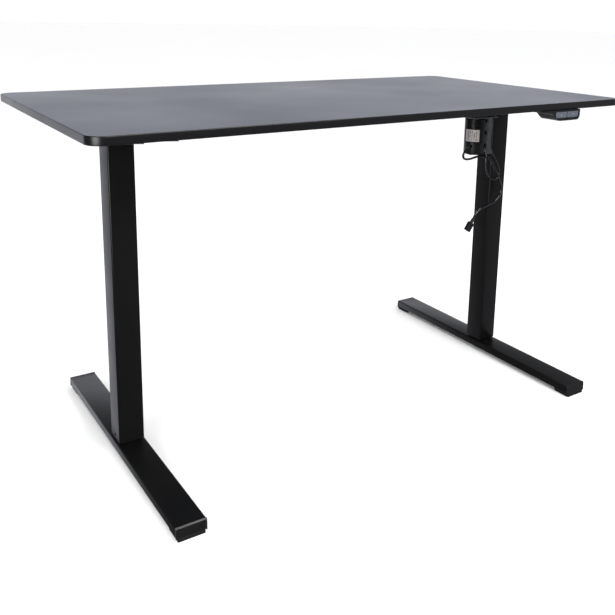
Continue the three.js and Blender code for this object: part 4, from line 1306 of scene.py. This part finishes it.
# ------------------------------------------------------------------------------------ studio
@dataclass
class Studio:
    """A pale floor, a soft studio round it and the camera.

    Attributes:
        eye: Where the camera stands.
        yaw: Its turn to the right of +Y, negative to the right, in degrees.
        pitch: Its tilt above the horizon, in degrees.
        roll: Its roll, in degrees.
        lens: Focal length over the sensor's width.
        shift: Lens shift sideways and upwards, as shares of the width.
        floor: Radius of the floor.
        bright_side: The way to the brightest wall, which shiny surfaces mirror.
        wall_edge: Cosines of the angles from that way where the wall begins and is at its brightest.
        wall_level: Brightness off the wall and on it.
        rise: How steeply up the wall begins to dim and has dimmed, as the sine of the angle.
        rise_level: Share of the wall's brightness below and above that.
        right_edge: The same for a weaker glow on the right, by the sideways share of the way.
        right_level: Brightness off that glow and on it.
        daylight: The tint of both.
        fill: Light on matt surfaces from all round.
    """

    eye: Triple = (-0.9927, -1.5244, 0.9303)
    yaw: float = -33.22
    pitch: float = -12.305
    roll: float = 1.06
    lens: float = 1.2668
    shift: Pair = (-0.03095, -0.21)
    floor: float = 40.0
    bright_side: Triple = (0.3, 0.954, 0.0)
    wall_edge: Pair = (0.45, 0.88)
    wall_level: Pair = (0.09, 0.88)
    rise: Pair = (0.17, 0.34)
    rise_level: Pair = (1.2, 0.1)
    right_edge: Pair = (0.25, 0.75)
    right_level: Pair = (0.0, 0.3)
    daylight: Triple = (0.95, 0.965, 1.04)
    fill: float = 1.2

    def camera(self) -> None:
        """Places the camera: it looks along its yaw and pitch, then rolls about that line."""
        yaw, pitch, roll = np.radians([self.yaw, self.pitch, self.roll])
        ahead = np.array([-np.sin(yaw) * np.cos(pitch), np.cos(yaw) * np.cos(pitch), np.sin(pitch)])
        right = np.array([np.cos(yaw), np.sin(yaw), 0])
        up = np.cross(right, ahead)
        turned_right = right * np.cos(roll) + up * np.sin(roll)
        turned_up = up * np.cos(roll) - right * np.sin(roll)
        data = bpy.data.cameras.new("studio_camera")
        data.lens = data.sensor_width * self.lens
        data.shift_x, data.shift_y = self.shift
        camera = bpy.data.objects.new("studio_camera", data)
        pose = np.eye(4)
        pose[:3] = np.column_stack([turned_right, turned_up, -ahead, self.eye])
        camera.matrix_world = Matrix(pose.tolist())
        bpy.context.scene.collection.objects.link(camera)
        bpy.context.scene.camera = camera

    def light(self, name: str, place: Triple, target: Triple, size: Pair, power: float) -> None:
        """Adds one soft box.

        Args:
            name: Its name.
            place: Its middle.
            target: The point it faces.
            size: Its width and height.
            power: Its power in watts.
        """
        data = bpy.data.lights.new(name, "AREA")
        data.shape = "RECTANGLE"
        data.size, data.size_y = size
        data.energy = power
        lamp = bpy.data.objects.new(name, data)
        way = np.array(place, float) - np.array(target, float)
        way /= np.linalg.norm(way)
        side = np.cross([0.0, 1.0, 0.0] if abs(way[2]) > 0.9 else [0.0, 0.0, 1.0], way)
        side /= np.linalg.norm(side)
        pose = np.eye(4)
        pose[:3] = np.column_stack([side, np.cross(way, side), way, place])
        lamp.matrix_world = Matrix(pose.tolist())
        bpy.context.scene.collection.objects.link(lamp)

    def surroundings(self) -> None:
        """The room's light: white for the eye and for matt surfaces, and for shiny ones a bright wall."""
        world = bpy.data.worlds.new("studio_room")
        bpy.context.scene.world = world
        world.use_nodes = True
        tree = world.node_tree
        tree.nodes.clear()
        way = add_node(tree, "ShaderNodeTexCoord").outputs["Generated"]
        split = add_node(tree, "ShaderNodeSeparateXYZ", {"Vector": way})
        facing = {0: way, 1: self.bright_side}
        facing = add_node(tree, "ShaderNodeVectorMath", facing, operation="DOT_PRODUCT")
        levels = []
        for value, edges, ends, smoothing in (
            (facing.outputs["Value"], self.wall_edge, self.wall_level, "SMOOTHSTEP"),
            (split.outputs["Z"], self.rise, self.rise_level, "LINEAR"),
            (split.outputs["X"], self.right_edge, self.right_level, "LINEAR"),
        ):
            limits = dict(zip(("From Min", "From Max", "To Min", "To Max"), (*edges, *ends)))
            ramp = add_node(
                tree, "ShaderNodeMapRange", {"Value": value, **limits}, interpolation_type=smoothing
            )
            levels.append(ramp.outputs[0])
        wall = add_node(tree, "ShaderNodeMath", {0: levels[0], 1: levels[1]}, operation="MULTIPLY")
        level = add_node(tree, "ShaderNodeMath", {0: wall.outputs[0], 1: levels[2]}, operation="MAXIMUM")
        tone = add_node(tree, "ShaderNodeVectorMath", {0: self.daylight, "Scale": level.outputs[0]},
                        operation="SCALE")
        room = add_node(tree, "ShaderNodeBackground", {"Color": tone.outputs[0]})
        seen = add_node(tree, "ShaderNodeBackground", {"Color": (1, 1, 1, 1)})
        wash = add_node(tree, "ShaderNodeBackground", {"Color": (1, 1, 1, 1), "Strength": self.fill})
        ray = add_node(tree, "ShaderNodeLightPath")
        matt, eye = ray.outputs["Is Diffuse Ray"], ray.outputs["Is Camera Ray"]
        soft = add_node(tree, "ShaderNodeMixShader", {0: matt, 1: room.outputs[0], 2: wash.outputs[0]})
        both = add_node(tree, "ShaderNodeMixShader", {0: eye, 1: soft.outputs[0], 2: seen.outputs[0]})
        add_node(tree, "ShaderNodeOutputWorld", {"Surface": both.outputs[0]})

    def ground(self) -> None:
        """The floor: a wide flat disc."""
        rings = carried(round_loop(self.floor, 96), np.array([[0, -0.02], [0, -0.0002]]))
        floor = skins("studio_floor", [rings])
        floor.data.materials.append(PAPER_FLOOR.material())
        floor.visible_glossy = False

    def build(self) -> None:
        """Sets up everything round the desk."""
        self.camera()
        self.ground()
        self.surroundings()
        self.light("overhead_box", (0.1, -0.3, 3.0), (0.1, -0.1, 0.3), (3.0, 2.0), 30)
        self.light("front_box", (0.3, -1.95, 2.1), (-0.2, -0.3, 0.2), (1.8, 0.6), 42)
        self.light("side_box", (-1.9, -1.3, 0.75), (0.45, -0.1, 0.5), (1.1, 1.1), 24)
        bpy.context.scene.view_settings.view_transform = "Standard"


def main() -> None:
    """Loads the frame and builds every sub-assembly in order."""
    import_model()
    Studio().build()
    Cables().build()
    Desktop().build()
    for side in Side:
        Foot(side).build()
        Leg(side).build()
    Underframe().build()
    DriveLine().build()
    MotorUnit().build()
    Handset().build()
    bpy.context.view_layer.update()


if __name__ == "__main__":
    main()
